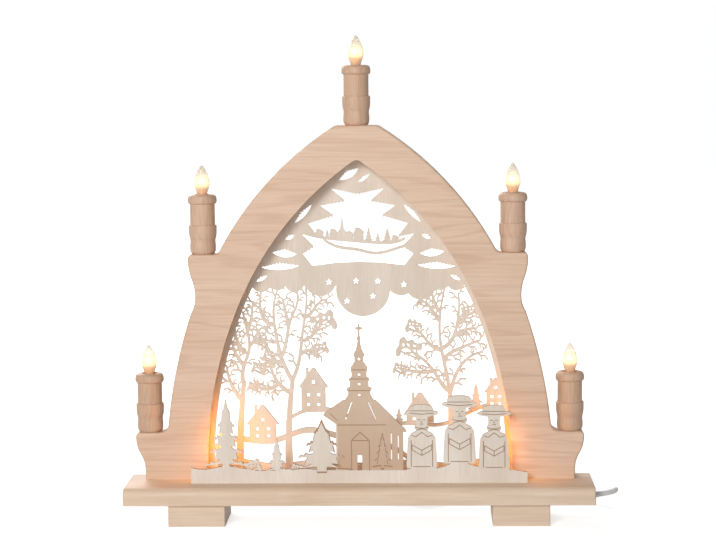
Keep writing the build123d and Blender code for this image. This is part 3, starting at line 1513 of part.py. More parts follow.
def singer(x, base, height):
    """Carol singer in a long coat and a wide hat, holding an open book."""
    right = [(x + across * height, base + up * height) for across, up in singer_outline_shares]
    left = [(2 * x - px, py) for px, py in reversed(right)]
    return polygon(right + left)


def front_picture():
    """Face of the front sheet: ground, firs, bushes, church and singers."""
    ground = [(x * front_half_length, y * front_strip_height) for x, y in front_ground_shares]
    faces = [ground_face(ground, -front_groove_depth)]
    more, holes = church()
    faces += more
    for x_share, base_share, height_share, width_share, tiers in front_fir_shares:
        x, base = spot(x_share, base_share)
        sizes = (height_share * picture_height, width_share * picture_height, tiers)
        faces.append(fir(x, base, *sizes))
        holes += fir_holes(x, base, *sizes)
    for x_share, y_share, width_share, side in front_bush_shares:
        x, y = spot(x_share, y_share)
        width = width_share * picture_height
        more, gaps = tuft(x, y + width / 2, width, side)
        faces += more
        holes += gaps
    for x, base, height in singer_places():
        faces.append(singer(x, base, height))
    return Sketch() + faces - holes


def front_engraving():
    """Shallow engraved lines on the church, the firs before it and the singers."""
    marks = []
    for shares in church_line_shares:
        marks += line_mark(church_points(shares), engraving_width)
    for x, base, height in singer_places():
        for shares in singer_line_shares:
            points = [(x + across * height, base + up * height) for across, up in shares]
            marks += line_mark(points, engraving_width)
    rim = 2 * engraving_width
    for x_share, base_share, height_share, width_share, tiers in [church_fir_shares, front_fir_shares[-1]]:
        x, base = spot(x_share, base_share)
        height = height_share * picture_height
        width = width_share * picture_height
        outer = fir(x, base, height, width, tiers)
        inner = fir(x, base + rim, height - 3 * rim, width - 2 * rim, tiers)
        marks.append(outer - inner)
    return marks


def front_fretwork():
    """Front plywood sheet, standing in the groove of the board."""
    sheet = upright(front_picture(), front_sheet_front, sheet_thickness)
    marks = Sketch() + front_engraving()
    return sheet - upright(marks, front_sheet_front - cut_overrun, cut_overrun + engraving_depth)


def build():
    """Make every piece where it sits and write it."""
    save("base_board", base_board())
    save("foot_left", foot(-1))
    save("foot_right", foot(1))
    save("base_cover", base_cover())
    save("cord_clamp", cord_clamp())
    save("cover_screws", group(screws(cover_screw_places(), cover_screw_length)))
    save("foot_screws", group(screws(foot_screw_places(), foot_screw_length)))
    save("arch_screws", group(screws(arch_screw_places(), arch_screw_length)))
    save("arch_frame", arch_frame())
    save("wire_cover", wire_cover())
    save("arch_wires", arch_wires())
    save("base_wires", base_wires())
    save("rear_fretwork", rear_fretwork())
    save("rear_pins", group([place * rear_pin() for place in rear_pin_places()]))
    save("front_fretwork", front_fretwork())
    for name, x, seat in candle_places():
        place = Pos(x, arch_middle, seat)
        save("candle_" + name + "_cup", place * candle_cup())
        save("candle_" + name + "_sleeve", place * candle_sleeve())
    shells = []
    contacts = []
    for name, place in lamp_places():
        lamp = place * Pos(0, 0, socket_length)
        save("socket_" + name, place * socket_body())
        save("bulb_" + name + "_glass", lamp * bulb_glass())
        save("bulb_" + name + "_cap", lamp * bulb_cap())
        save("bulb_" + name + "_filament", lamp * bulb_filament())
        shells.append(place * socket_shell())
        contacts.append(place * socket_contact())
    save("socket_shells", group(shells))
    save("socket_contacts", group(contacts))
    save("cord", cord())
    save("cord_coil", cord_coil())
    save("cord_tail", tube(tail_points(), "tail"))
    save("plug_body", plug_body())
    save("plug_pins", plug_pins())


os.makedirs("parts", exist_ok=True)
build()
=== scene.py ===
import math

import bpy
import numpy as np
from mathutils import Matrix, Vector


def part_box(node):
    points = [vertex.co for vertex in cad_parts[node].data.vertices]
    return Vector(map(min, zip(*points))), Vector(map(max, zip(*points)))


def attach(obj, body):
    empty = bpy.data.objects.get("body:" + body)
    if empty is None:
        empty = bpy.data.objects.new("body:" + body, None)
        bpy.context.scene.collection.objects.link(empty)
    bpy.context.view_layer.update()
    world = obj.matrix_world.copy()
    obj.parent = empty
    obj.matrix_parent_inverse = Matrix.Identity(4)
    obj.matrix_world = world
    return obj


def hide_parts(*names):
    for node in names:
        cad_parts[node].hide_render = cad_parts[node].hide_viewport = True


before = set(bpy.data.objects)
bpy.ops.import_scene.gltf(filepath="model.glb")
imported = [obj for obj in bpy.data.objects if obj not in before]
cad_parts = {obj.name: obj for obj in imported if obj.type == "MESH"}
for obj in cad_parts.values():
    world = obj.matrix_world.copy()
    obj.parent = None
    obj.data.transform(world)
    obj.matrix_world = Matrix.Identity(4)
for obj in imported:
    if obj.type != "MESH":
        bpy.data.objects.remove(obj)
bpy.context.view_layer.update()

# Candle arch: pale wood arch on a board, plywood fretwork sheets and seven lit flame bulbs.
# Metres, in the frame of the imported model. Outlines, routes and sections are written in millimetres.

mm = 0.001

# Camera, matched to the photograph
photo_width = 716
focal_pixels = 1900.0
sensor_width = 36.0
camera_place = (0.05974, -1.72314, 0.41341)
camera_yaw = 0.0342
camera_pitch = -0.1049
camera_roll = -0.0101
camera_near = 0.05
camera_far = 50.0

# Lamps, with outlines as (radius, height over the upper rim of the cap) in millimetres
lamp_names = ("top", "upper_left", "upper_right", "lower_left", "lower_right", "inner_left", "inner_right")
candle_names = lamp_names[:5]
neck_depth = 2.0
flame_height = 28.8
flame_outer = [(4.05, -2.0), (4.15, 0.0), (4.6, 2.2), (5.5, 5.0), (6.6, 8.2), (7.1, 11.4), (6.8, 15.0),
               (5.8, 18.8), (4.4, 22.4), (2.8, 25.6), (1.4, 27.8), (0.55, 28.6), (0.0, 28.78)]
flame_inner = [(0.0, 28.1), (0.4, 27.9), (1.0, 27.2), (2.3, 25.2), (3.9, 22.1), (5.3, 18.5), (6.3, 14.8),
               (6.6, 11.4), (6.1, 8.3), (5.0, 5.1), (4.1, 2.2), (3.65, 0.0), (3.55, -2.0)]
flame_rows = 64
flame_around = 48

# Filament: a coiled wire bowed between two leads that stand on a glass stem
filament_turns = 16
filament_steps = 14
filament_wire = 0.11
filament_coil = 0.42
filament_reach = 2.2
filament_foot = 12.2
filament_bow = 2.0
filament_lead_radius = 0.2
filament_lead_route = [(0.9, 4.5), (1.3, 8.0), (2.1, 11.2), (2.2, 12.3)]
stem_outline = [(0.0, -8.9), (3.15, -8.9), (3.15, 2.0), (2.4, 4.2), (1.5, 5.4), (1.3, 6.3), (0.8, 6.6),
                (0.0, 6.7)]

# Screw cap: rolled shell, black insulator and solder nib
cap_radius = 4.72
cap_bore = 4.2
cap_foot = -9.15
cap_floor = -8.8
cap_rows = 72
cap_around = 48
thread_pitch = 1.81
thread_depth = 0.38
thread_low, thread_low_fade = -8.8, 1.2
thread_high, thread_high_fade = -0.9, 0.6
insulator_outline = [(0.0, -10.3), (1.6, -10.3), (1.9, -10.1), (3.1, -9.5), (3.4, -9.16), (0.0, -9.16)]
nib_outline = [(0.0, -11.0), (1.1, -10.9), (1.5, -10.6), (1.55, -10.31), (0.0, -10.31)]

# Light of the lamps behind the front sheet, in watts, and its place over the cap in millimetres
inner_lamp_power = 0.06
inner_lamp_colour = "FFB040"
inner_lamp_radius = 4.0
inner_lamp_rise = 12.0

# Studio: world light on the object, the floor's own white to the camera under the object, how far
# from it that white grows to full, the floor's grey and half width, and three square lamps, each
# with its place, side and watts. Lengths are metres.
world_light = 0.15
floor_white = 0.7
floor_grows = (0.3, 1.1)
floor_grey = 0.7
floor_reach = 6.0
lamps_target = (0, 0, 0.2)
studio_lamps = {"key": ((-0.7, -2.2, 1.1), 0.8, 36.0),
                "fill": ((-0.15, -2.4, 0.6), 1.0, 8.0),
                "back": ((-1.0, 2.0, 1.5), 1.6, 42.0)}

# Lead, in millimetres but for its length in metres, with its route's points as in the solid model
cord_radius = 2.3
cord_start = (202.6, 2.0, 22.4)
cord_route = [(222.0, 2.0, 22.4), (236.6, 14.8, 22.4), (240.2, 34.0, 20.8), (232.6, 53.4, 12.0),
              (214.4, 68.6, 5.0), (191.6, 75.4, 2.4)]
coil_center = (165.0, 112.0)
coil_outer_radius = 36.0
coil_pitch = 5.2
coil_turns_each_way = 3.25
coil_points_each_turn = 24
coil_floor = 2.4
tail_start_run = 18.0
plug_neck_end = (95.0, 69.5, 6.85)

# Plug, in millimetres: half widths and half heights at distances from its nose, how square its
# sections are, and its ribs as start, end, length of each end's ramp, pitch and depth
plug_length = 49.0
plug_nose_round = 1.5
plug_stations = (0.0, 12.0, 17.0, 22.0, 27.0, 31.0, 49.0)
plug_half_widths = (13.0, 17.3, 14.2, 9.4, 7.0, 4.4, 3.0)
plug_half_heights = (6.8, 6.8, 6.8, 6.6, 5.6, 4.4, 3.0)
plug_square_stations = (0, 22, 29)
plug_square_powers = (5.0, 4.0, 2.0)
plug_rows = 260
plug_around = 72
plug_smooth_rows = 9
grip_ribs = (14.0, 26.0, 1.5, 1.5, 2.0, 0.35)
rib_height_share = 0.6
neck_rings = (30.0, 47.0, 2.0, 1.0, 2.8, 0.5)

# Fretwork sheets, in millimetres: thickness, and the place of each front face on Y
sheet_thickness = 3.0
rear_sheet_front = 29.0
front_sheet_front = -9.0

# Church on the front sheet, in millimetres: its sides, its wall's left end, its height and the
# height of its eaves, with the heights over the floor between which its painted shade and painted
# orange lamp glow deepen
church_sides = (-32.0, 43.5)
church_wall_left = -19.5
church_height = 135.0
church_eaves = 43.0
# Painted shade and painted lamp glow on the church: heights where they deepen, and how strongly they cover
# it
church_painted_shade_heights = (40.0, 110.0)
church_painted_shade_cover = 0.75


def colour(code):
    """sRGB hex code to linear red, green, blue and alpha."""
    parts = [int(code[i:i + 2], 16) / 255 for i in (0, 2, 4)]
    return tuple(c / 12.92 if c < 0.04045 else ((c + 0.055) / 1.055) ** 2.4 for c in parts) + (1.0,)


def darker(code, share):
    """Linear colour of a code, times a share."""
    return tuple(c * share for c in colour(code)[:3]) + (1.0,)


def new_material(name):
    """Material with an empty node tree."""
    material = bpy.data.materials.new(name)
    material.use_nodes = True
    material.node_tree.nodes.clear()
    return material, material.node_tree


def add_node(tree, kind, inputs=None, **settings):
    """Add a shader node with its settings; an input takes a value, an output or a node's first output.

    Inputs go by name or number. A Mix takes its share as 0 and its two colours as 6 and 7, and gives
    their mix as output 2. A Map Range takes its value as 0, the old range as 1 and 2 and the new range
    as 3 and 4, and holds the value at the ends.
    """
    new = tree.nodes.new("ShaderNode" + kind)
    for name, value in settings.items():
        setattr(new, name, value)
    for name, value in (inputs or {}).items():
        if isinstance(value, bpy.types.Node):
            value = value.outputs[0]
        if isinstance(value, bpy.types.NodeSocket):
            tree.links.new(value, new.inputs[name])
        else:
            new.inputs[name].default_value = value
    return new


def within(tree, value, low, high, soft):
    """1 between two values and 0 outside them, with ramps of twice soft at its ends."""
    rise = add_node(tree, "MapRange", {0: value, 1: low - soft, 2: low + soft})
    fall = add_node(tree, "MapRange", {0: value, 1: high - soft, 2: high + soft, 3: 1.0, 4: 0.0})
    return add_node(tree, "Math", {0: rise, 1: fall}, operation="MULTIPLY")


def stepped(tree, value, pairs):
    """Straight lines between pairs of place and height, as a sum of held ramps."""
    total = pairs[0][1]
    for (low, low_height), (high, high_height) in zip(pairs, pairs[1:]):
        ramp = add_node(tree, "MapRange", {0: value, 1: low, 2: high, 3: 0.0, 4: high_height - low_height})
        total = add_node(tree, "Math", {0: ramp, 1: total}, operation="ADD")
    return total


def seen_rays(tree):
    """1 for rays from the camera and for those that a glossy or a clear surface sends on, else 0."""
    path = add_node(tree, "LightPath")
    direct = add_node(tree, "Math", {0: path.outputs["Is Camera Ray"], 1: path.outputs["Is Glossy Ray"]},
                      operation="MAXIMUM")
    return add_node(tree, "Math", {0: direct, 1: path.outputs["Is Transmission Ray"]}, operation="MAXIMUM")


def plain_wood(name, dark, middle, light, grain_axis, fibre, ring, lines, roughness=0.52):
    """Planed and finely sanded hardwood: growth lines, long fibres along the grain and short pores.

    fibre and ring are widths in millimetres across the grain. Real fibres are some ten times finer
    and wouldn't show, so they are drawn that much coarser. The growth lines are the contour lines of
    a slow noise that is drawn out along the grain, so that they close into long flat tongues.
    """
    patch, pore_width, relief = 60 * mm, 1.3 * mm, 0.08 * mm
    rings_each_wave, contour_count = 6, 60.0
    material, tree = new_material(name)
    coords = add_node(tree, "TexCoord").outputs["Object"]

    def drawn_out(share):
        """Coordinates on which a pattern is 1 / share times as long as wide along the grain."""
        scale = [1.0, 1.0, 1.0]
        scale[grain_axis] = share
        return add_node(tree, "Mapping", {"Vector": coords, "Scale": scale})

    tone = add_node(tree, "TexNoise", {"Vector": drawn_out(0.15), "Scale": 1 / patch, "Detail": 3.0,
                                       "Roughness": 0.5})
    slow = add_node(tree, "TexNoise", {"Vector": drawn_out(0.07), "Scale": 1 / (rings_each_wave * ring * mm),
                                       "Detail": 2.0, "Roughness": 0.55})
    phase = add_node(tree, "Math", {0: slow, 1: contour_count}, operation="MULTIPLY")
    wave = add_node(tree, "Math", {0: phase}, operation="SINE")
    growth = add_node(tree, "MapRange", {0: wave, 1: 0.45, 2: 1.0, 3: 0.0, 4: lines})
    fibres = add_node(tree, "TexNoise", {"Vector": drawn_out(0.03), "Scale": 1 / (fibre * mm),
                                         "Detail": 4.0, "Roughness": 0.62})
    pores = add_node(tree, "TexVoronoi", {"Vector": drawn_out(0.1), "Scale": 1 / pore_width,
                                          "Randomness": 1.0})
    pore = add_node(tree, "MapRange", {0: pores, 1: 0.05, 2: 0.2, 3: 0.22, 4: 0.0})
    share = add_node(tree, "MapRange", {0: tone, 1: 0.35, 2: 0.65})
    base = add_node(tree, "Mix", {0: share, 6: colour(middle), 7: colour(light)}, data_type="RGBA")
    streaks = add_node(tree, "MapRange", {0: fibres, 1: 0.4, 2: 0.7, 3: 0.0, 4: 0.34})
    for cover in (growth, streaks, pore):
        base = add_node(tree, "Mix", {0: cover, 6: base.outputs[2], 7: colour(dark)}, data_type="RGBA")
    rough = add_node(tree, "MapRange", {0: fibres, 1: 0.3, 2: 0.7, 3: roughness - 0.06, 4: roughness + 0.08})
    height = add_node(tree, "Math", {0: fibres, 1: pore}, operation="SUBTRACT")
    bump = add_node(tree, "Bump", {"Height": height, "Strength": 0.25, "Distance": relief})
    shader = add_node(tree, "BsdfPrincipled", {
        "Base Color": base.outputs[2], "Roughness": rough, "Normal": bump, "IOR": 1.5,
        "Specular IOR Level": 0.4})
    add_node(tree, "OutputMaterial", {"Surface": shader})
    return material


def church_area(tree, place):
    """1 on the church of the front sheet: its roof and tower, and its wall under the eaves, where shade and
    lamp glow are painted.
    """
    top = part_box("front_fretwork")[1].z
    base = top - church_height * mm
    left, right = church_sides[0] * mm, church_sides[1] * mm
    edge = 0.6 * mm
    areas = []
    for side, low in ((left, base + church_eaves * mm), (church_wall_left * mm, base)):
        across = within(tree, place.outputs["X"], side, right, edge)
        upward = within(tree, place.outputs["Z"], low, top, edge)
        areas.append(add_node(tree, "Math", {0: across, 1: upward}, operation="MULTIPLY"))
    return add_node(tree, "Math", {0: areas[0], 1: areas[1]}, operation="MAXIMUM")


def fretwork_plywood(name, front, dark, middle, light, church=False):
    """Birch plywood, sanded, and cut by a laser: pale face, tan cut edges with a darker middle ply.

    front is the face's place on Y in metres. The three plies share the thickness equally. church
    paints shade and the orange glow of the lamps onto the church of the sheet: a browner tan than the
    rest, more orange towards the ground.
    Real fibres are finer than the render shows, so they are drawn 0.8 mm wide.
    """
    fibre, cloud, relief = 0.8 * mm, 26 * mm, 0.05 * mm
    material, tree = new_material(name)
    coords = add_node(tree, "TexCoord")
    upright = add_node(tree, "Mapping", {"Vector": coords.outputs["Object"], "Scale": (1.0, 1.0, 0.04)})
    fibres = add_node(tree, "TexNoise", {"Vector": upright, "Scale": 1 / fibre, "Detail": 3.0,
                                         "Roughness": 0.6})
    flat = add_node(tree, "Mapping", {"Vector": coords.outputs["Object"], "Scale": (1.0, 1.0, 0.2)})
    clouds = add_node(tree, "TexNoise", {"Vector": flat, "Scale": 1 / cloud, "Detail": 3.0})
    share = add_node(tree, "MapRange", {0: clouds, 1: 0.3, 2: 0.7})
    face = add_node(tree, "Mix", {0: share, 6: colour(middle), 7: colour(light)}, data_type="RGBA")
    streaks = add_node(tree, "MapRange", {0: fibres, 1: 0.4, 2: 0.7, 3: 0.0, 4: 0.4})
    face = add_node(tree, "Mix", {0: streaks, 6: face.outputs[2], 7: colour(dark)}, data_type="RGBA")
    place = add_node(tree, "SeparateXYZ", {0: coords.outputs["Object"]})
    # Painted shade and painted orange lamp glow: the church a browner tan, more orange towards the ground
    if church:
        low, high = [height * mm for height in church_painted_shade_heights]
        shade_deepens = add_node(tree, "MapRange", {0: place.outputs["Z"], 1: low, 2: high, 3: 1.0, 4: 0.0})
        painted_church_shade = add_node(tree, "Mix", {0: shade_deepens, 6: colour("CDAE92"), 7: colour("BE9470")},
                         data_type="RGBA")
        cover = add_node(tree, "Math", {0: church_area(tree, place), 1: church_painted_shade_cover},
                         operation="MULTIPLY")
        face = add_node(tree, "Mix", {0: cover, 6: face.outputs[2], 7: painted_church_shade.outputs[2]}, data_type="RGBA")
    into = add_node(tree, "MapRange", {0: place.outputs["Y"], 1: front, 2: front + sheet_thickness * mm})
    normal = add_node(tree, "SeparateXYZ", {0: coords.outputs["Normal"]})
    facing = add_node(tree, "Math", {0: normal.outputs["Y"]}, operation="ABSOLUTE")
    edge = add_node(tree, "MapRange", {0: facing, 1: 0.6, 2: 0.9, 3: 1.0, 4: 0.0})
    browned = add_node(tree, "Math", {0: edge, 1: within(tree, into, 0.06, 0.94, 0.02)}, operation="MAXIMUM")
    cut = add_node(tree, "Mix", {0: within(tree, into, 0.325, 0.675, 0.015), 6: colour("AD8A66"),
                                 7: colour("8A6643")}, data_type="RGBA")
    final = add_node(tree, "Mix", {0: browned, 6: face.outputs[2], 7: cut.outputs[2]}, data_type="RGBA")
    bump = add_node(tree, "Bump", {"Height": fibres, "Strength": 0.2, "Distance": relief})
    shader = add_node(tree, "BsdfPrincipled", {
        "Base Color": final.outputs[2], "Roughness": 0.6, "Normal": bump, "IOR": 1.5,
        "Specular IOR Level": 0.35})
    add_node(tree, "OutputMaterial", {"Surface": shader})
    return material


def moulded_plastic(name, code, roughness, grit=0.35):
    """Injection-moulded plastic: an even tint with a fine eroded mould texture, grit millimetres wide."""
    patch, relief = 14 * mm, 0.03 * mm
    material, tree = new_material(name)
    coords = add_node(tree, "TexCoord").outputs["Object"]
    grain = add_node(tree, "TexNoise", {"Vector": coords, "Scale": 1 / (grit * mm), "Detail": 2.0})
    tint = add_node(tree, "TexNoise", {"Vector": coords, "Scale": 1 / patch, "Detail": 2.0})
    share = add_node(tree, "MapRange", {0: tint, 1: 0.35, 2: 0.65})
    base = add_node(tree, "Mix", {0: share, 6: darker(code, 0.93), 7: colour(code)}, data_type="RGBA")
    bump = add_node(tree, "Bump", {"Height": grain, "Strength": 0.15, "Distance": relief})
    shader = add_node(tree, "BsdfPrincipled", {
        "Base Color": base.outputs[2], "Roughness": roughness, "Normal": bump, "IOR": 1.47})
    add_node(tree, "OutputMaterial", {"Surface": shader})
    return material


def plated_metal(name, code, roughness):
    """Drawn or turned metal with a thin plating: fine rings from the tool and slightly dull patches.

    Tool rings are hundredths of a millimetre apart and are drawn 0.25 mm apart so that they show.
    """
    ring, patch, relief = 0.25 * mm, 3 * mm, 0.02 * mm
    material, tree = new_material(name)
    coords = add_node(tree, "TexCoord").outputs["Object"]
    level = add_node(tree, "Mapping", {"Vector": coords, "Scale": (0.1, 0.1, 1.0)})
    rings = add_node(tree, "TexNoise", {"Vector": level, "Scale": 1 / ring, "Detail": 2.0})
    patches = add_node(tree, "TexNoise", {"Vector": coords, "Scale": 1 / patch, "Detail": 3.0})
    share = add_node(tree, "MapRange", {0: patches, 1: 0.35, 2: 0.7})
    base = add_node(tree, "Mix", {0: share, 6: colour(code), 7: darker(code, 0.8)}, data_type="RGBA")
    rough = add_node(tree, "MapRange", {0: patches, 1: 0.3, 2: 0.7, 3: roughness - 0.05, 4: roughness + 0.1})
    bump = add_node(tree, "Bump", {"Height": rings, "Strength": 0.2, "Distance": relief})
    shader = add_node(tree, "BsdfPrincipled", {
        "Base Color": base.outputs[2], "Roughness": rough, "Metallic": 1.0, "Normal": bump})
    add_node(tree, "OutputMaterial", {"Surface": shader})
    return material


def lit_glass(name, tints, powers, covers):
    """Thin blown lamp glass round a hot filament: a warm haze that clears at the tip, with gloss.

    tints, powers and covers give the colour, the glow and how much hides what is behind, each at
    heights that are shares of the piece's attribute "along", from 0 at the base to 1 at the tip.
    The wall is too thin to bend light, so it is a veil that thickens where the eye grazes it.
    """
    ripple, relief = 4 * mm, 0.05 * mm
    material, tree = new_material(name)
    along = add_node(tree, "Attribute", attribute_name="along").outputs["Fac"]
    ramp = add_node(tree, "ValToRGB", {"Fac": along})
    elements = ramp.color_ramp.elements
    while len(elements) < len(tints):
        elements.new(0.5)
    for element, (place, code) in zip(elements, tints):
        element.position = place
        element.color = colour(code)
    rim = add_node(tree, "LayerWeight", {"Blend": 0.5}).outputs["Facing"]
    inward = add_node(tree, "MapRange", {0: rim, 1: 0.35, 2: 0.9, 3: 1.0, 4: 0.1})
    power = add_node(tree, "Math", {0: stepped(tree, along, powers), 1: inward}, operation="MULTIPLY")
    thicker = add_node(tree, "MapRange", {0: rim, 1: 0.5, 2: 0.95, 3: 0.0, 4: 0.45})
    cover = add_node(tree, "Math", {0: stepped(tree, along, covers), 1: thicker}, operation="ADD",
                     use_clamp=True)
    coords = add_node(tree, "TexCoord").outputs["Object"]
    upright = add_node(tree, "Mapping", {"Vector": coords, "Scale": (1, 1, 0.4)})
    waves = add_node(tree, "TexNoise", {"Vector": upright, "Scale": 1 / ripple, "Detail": 1.0})
    bump = add_node(tree, "Bump", {"Height": waves, "Strength": 0.1, "Distance": relief})
    shader = add_node(tree, "BsdfPrincipled", {
        "Base Color": ramp, "Roughness": 0.04, "IOR": 1.5, "Alpha": cover, "Normal": bump,
        "Emission Color": ramp, "Emission Strength": power})
    add_node(tree, "OutputMaterial", {"Surface": shader})
    return material


def glowing_wire(name, code, strength):
    """Drawn tungsten at yellow heat, with slightly cooler turns in spots of about a millimetre."""
    spot = 1.0 * mm
    material, tree = new_material(name)
    coords = add_node(tree, "TexCoord").outputs["Object"]
    spots = add_node(tree, "TexNoise", {"Vector": coords, "Scale": 1 / spot, "Detail": 1.0})
    power = add_node(tree, "MapRange", {0: spots, 1: 0.3, 2: 0.7, 3: strength * 0.8, 4: strength})
    shader = add_node(tree, "BsdfPrincipled", {
        "Base Color": colour("8A7C6B"), "Metallic": 1.0, "Roughness": 0.4,
        "Emission Color": colour(code), "Emission Strength": power})
    add_node(tree, "OutputMaterial", {"Surface": shader})
    return material


def grid_mesh(name, points, material, attribute=None):
    """Mesh of a grid of points, rows along the shape and columns around it, with closed poles.

    points has shape (rows, columns, 3). Each face joins two neighbours of a row with the two after
    them, and the last column joins the first. Where the columns go round against the clock and the
    rows go up, the faces point outwards. A first or last row drawn together to one point becomes a
    fan of triangles. attribute gives each row its value of "along".
    """
    rows, columns = points.shape[:2]
    index = np.arange(rows * columns).reshape(rows, columns)
    wrap = np.roll(index, -1, axis=1)
    quads = np.stack([index[:-1], wrap[:-1], wrap[1:], index[1:]], axis=-1).reshape(-1, 4)
    mesh = bpy.data.meshes.new(name)
    mesh.from_pydata(points.reshape(-1, 3), [], quads.tolist())
    if attribute is not None:
        layer = mesh.attributes.new("along", "FLOAT", "POINT")
        layer.data.foreach_set("value", np.repeat(attribute, columns).astype(np.float32))
    mesh.polygons.foreach_set("use_smooth", np.ones(len(quads), bool))
    mesh.materials.append(material)
    piece = bpy.data.objects.new(name, mesh)
    bpy.context.scene.collection.objects.link(piece)
    weld = piece.modifiers.new("poles", "WELD")
    weld.merge_threshold = 0.002 * mm
    return piece


def turned_points(profile, around, center):
    """Surface of revolution: each profile point (radius, height) is carried round the lamp's axis."""
    turn = np.linspace(0, 2 * math.pi, around, endpoint=False)
    radius = profile[:, 0][:, None]
    x = center[0] + radius * np.cos(turn)[None, :]
    y = center[1] + radius * np.sin(turn)[None, :]
    z = np.repeat((center[2] + profile[:, 1])[:, None], around, axis=1)
    return np.stack([x, y, z], axis=-1)


def smooth_profile(points, count):
    """Curve through points in millimetres, given in metres as count points.

    Each span is a cubic whose end slopes follow the neighbouring points.
    """
    points = np.array(points, float) * mm
    before = np.vstack([2 * points[0] - points[1], points[:-1]])
    after = np.vstack([points[1:], 2 * points[-1] - points[-2]])
    slope = (after - before) / 2
    place = np.linspace(0, len(points) - 1, count)
    low = np.minimum(place.astype(int), len(points) - 2)
    t = (place - low)[:, None]
    p0, p1, m0, m1 = points[low], points[low + 1], slope[low], slope[low + 1]
    return ((2 * t ** 3 - 3 * t ** 2 + 1) * p0 + (t ** 3 - 2 * t ** 2 + t) * m0
            + (-2 * t ** 3 + 3 * t ** 2) * p1 + (t ** 3 - t ** 2) * m1)


def tube_points(path, radius, around):
    """Tube: circles of one radius square to a path, turned with it from point to point."""
    path = np.array(path, float)
    way = np.gradient(path, axis=0)
    way /= np.linalg.norm(way, axis=1)[:, None]
    up = np.array([0.0, 0.0, 1.0]) if abs(way[0][2]) < 0.9 else np.array([1.0, 0.0, 0.0])
    rows = []
    side = np.cross(way[0], up)
    turn = np.linspace(0, 2 * math.pi, around, endpoint=False)
    for place, ahead in zip(path, way):
        side = side - ahead * side.dot(ahead)
        side /= np.linalg.norm(side)
        other = np.cross(ahead, side)
        rows.append(place + radius * (np.cos(turn)[:, None] * side + np.sin(turn)[:, None] * other))
    rows = [np.repeat(path[:1], around, axis=0)] + rows + [np.repeat(path[-1:], around, axis=0)]
    return np.stack(rows)


def lamp_center(name):
    """Middle of the upper rim of one lamp's cap, from its glass in the frame."""
    low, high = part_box("bulb_" + name + "_glass")
    return np.array([(low.x + high.x) / 2, (low.y + high.y) / 2, low.z + neck_depth * mm])


def flame_glass(name, material):
    """Hollow blown flame: outer profile up from the neck, and the inner profile back down."""
    outer = smooth_profile(flame_outer, flame_rows)
    inner = smooth_profile(flame_inner, flame_rows)
    outer[-1, 0] = inner[0, 0] = 0.0
    profile = np.vstack([outer, inner, outer[:1]])
    profile[:, 0] = np.maximum(profile[:, 0], 0.0)
    along = np.clip(profile[:, 1] / (flame_height * mm), 0, 1)
    piece = grid_mesh("flame_glass_" + name, turned_points(profile, flame_around, lamp_center(name)),
                      material, along)
    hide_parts("bulb_" + name + "_glass")
    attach(piece, "bulb_" + name)
    return piece


def filament(name, wire, stem_glass, lead_metal):
    """Stem, two leads and a coiled wire: the coil is a helix wound about an arch between the leads.

    The arch goes half way round: across as the cosine of the angle and up as its sine. The helix
    goes out from it as the cosine of its own angle and sideways as its sine.
    """
    center = lamp_center(name)
    steps = filament_turns * filament_steps
    share = np.linspace(0, 1, steps)
    bend = math.pi * share
    spin = 2 * math.pi * filament_turns * share
    flat = np.zeros(steps)
    arch = np.stack([-filament_reach * np.cos(bend), flat, filament_foot + filament_bow * np.sin(bend)],
                    axis=-1)
    out = np.stack([np.cos(bend), flat, np.sin(bend)], axis=-1)
    side = np.array([0.0, 1.0, 0.0])
    coil = (arch + filament_coil * (np.cos(spin)[:, None] * out + np.sin(spin)[:, None] * side)) * mm
    pieces = [grid_mesh("filament_coil_" + name, tube_points(coil + center, filament_wire * mm, 6), wire)]
    for sign, label in ((-1, "left"), (1, "right")):
        route = smooth_profile([(sign * x, 0, z) for x, z in filament_lead_route], 16)
        pieces.append(grid_mesh("filament_lead_" + label + "_" + name,
                                tube_points(route + center, filament_lead_radius * mm, 8), lead_metal))
    pieces.append(grid_mesh("filament_stem_" + name,
                            turned_points(smooth_profile(stem_outline, 24), 24, center), stem_glass))
    for piece in pieces:
        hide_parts("bulb_" + name + "_filament")
        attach(piece, "bulb_" + name)


def screw_cap(name, metal, insulator, solder):
    """Screw cap: radius follows a cosine of height less angle, which draws the rolled thread."""
    center = lamp_center(name)
    height = np.linspace(cap_foot, 0, cap_rows)[:, None]
    turn = np.linspace(0, 2 * math.pi, cap_around, endpoint=False)[None, :]
    wave = (1 - np.cos(2 * math.pi * height / thread_pitch - turn)) / 2
    fade = (np.clip((height - thread_low) / thread_low_fade, 0, 1)
            * np.clip((thread_high - height) / thread_high_fade, 0, 1))
    radius = cap_radius - thread_depth * wave * fade
    shell = np.stack([radius * np.cos(turn), radius * np.sin(turn), np.repeat(height, cap_around, axis=1)],
                     axis=-1) * mm + center
    foot = turned_points(np.array([(0.0, cap_foot)]) * mm, cap_around, center)
    bore = turned_points(np.array([(cap_bore, 0.0), (cap_bore, cap_floor), (0.0, cap_floor)]) * mm,
                         cap_around, center)
    nib = smooth_profile(nib_outline, 16)
    nib[:, 0] = np.maximum(nib[:, 0], 0.0)
    pieces = [grid_mesh("cap_shell_" + name, np.concatenate([foot, shell, bore]), metal),
              grid_mesh("cap_insulator_" + name,
                        turned_points(np.array(insulator_outline) * mm, 32, center), insulator),
              grid_mesh("cap_nib_" + name, turned_points(nib, 24, center), solder)]
    for piece in pieces:
        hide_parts("bulb_" + name + "_cap")
        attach(piece, "cap_" + name)


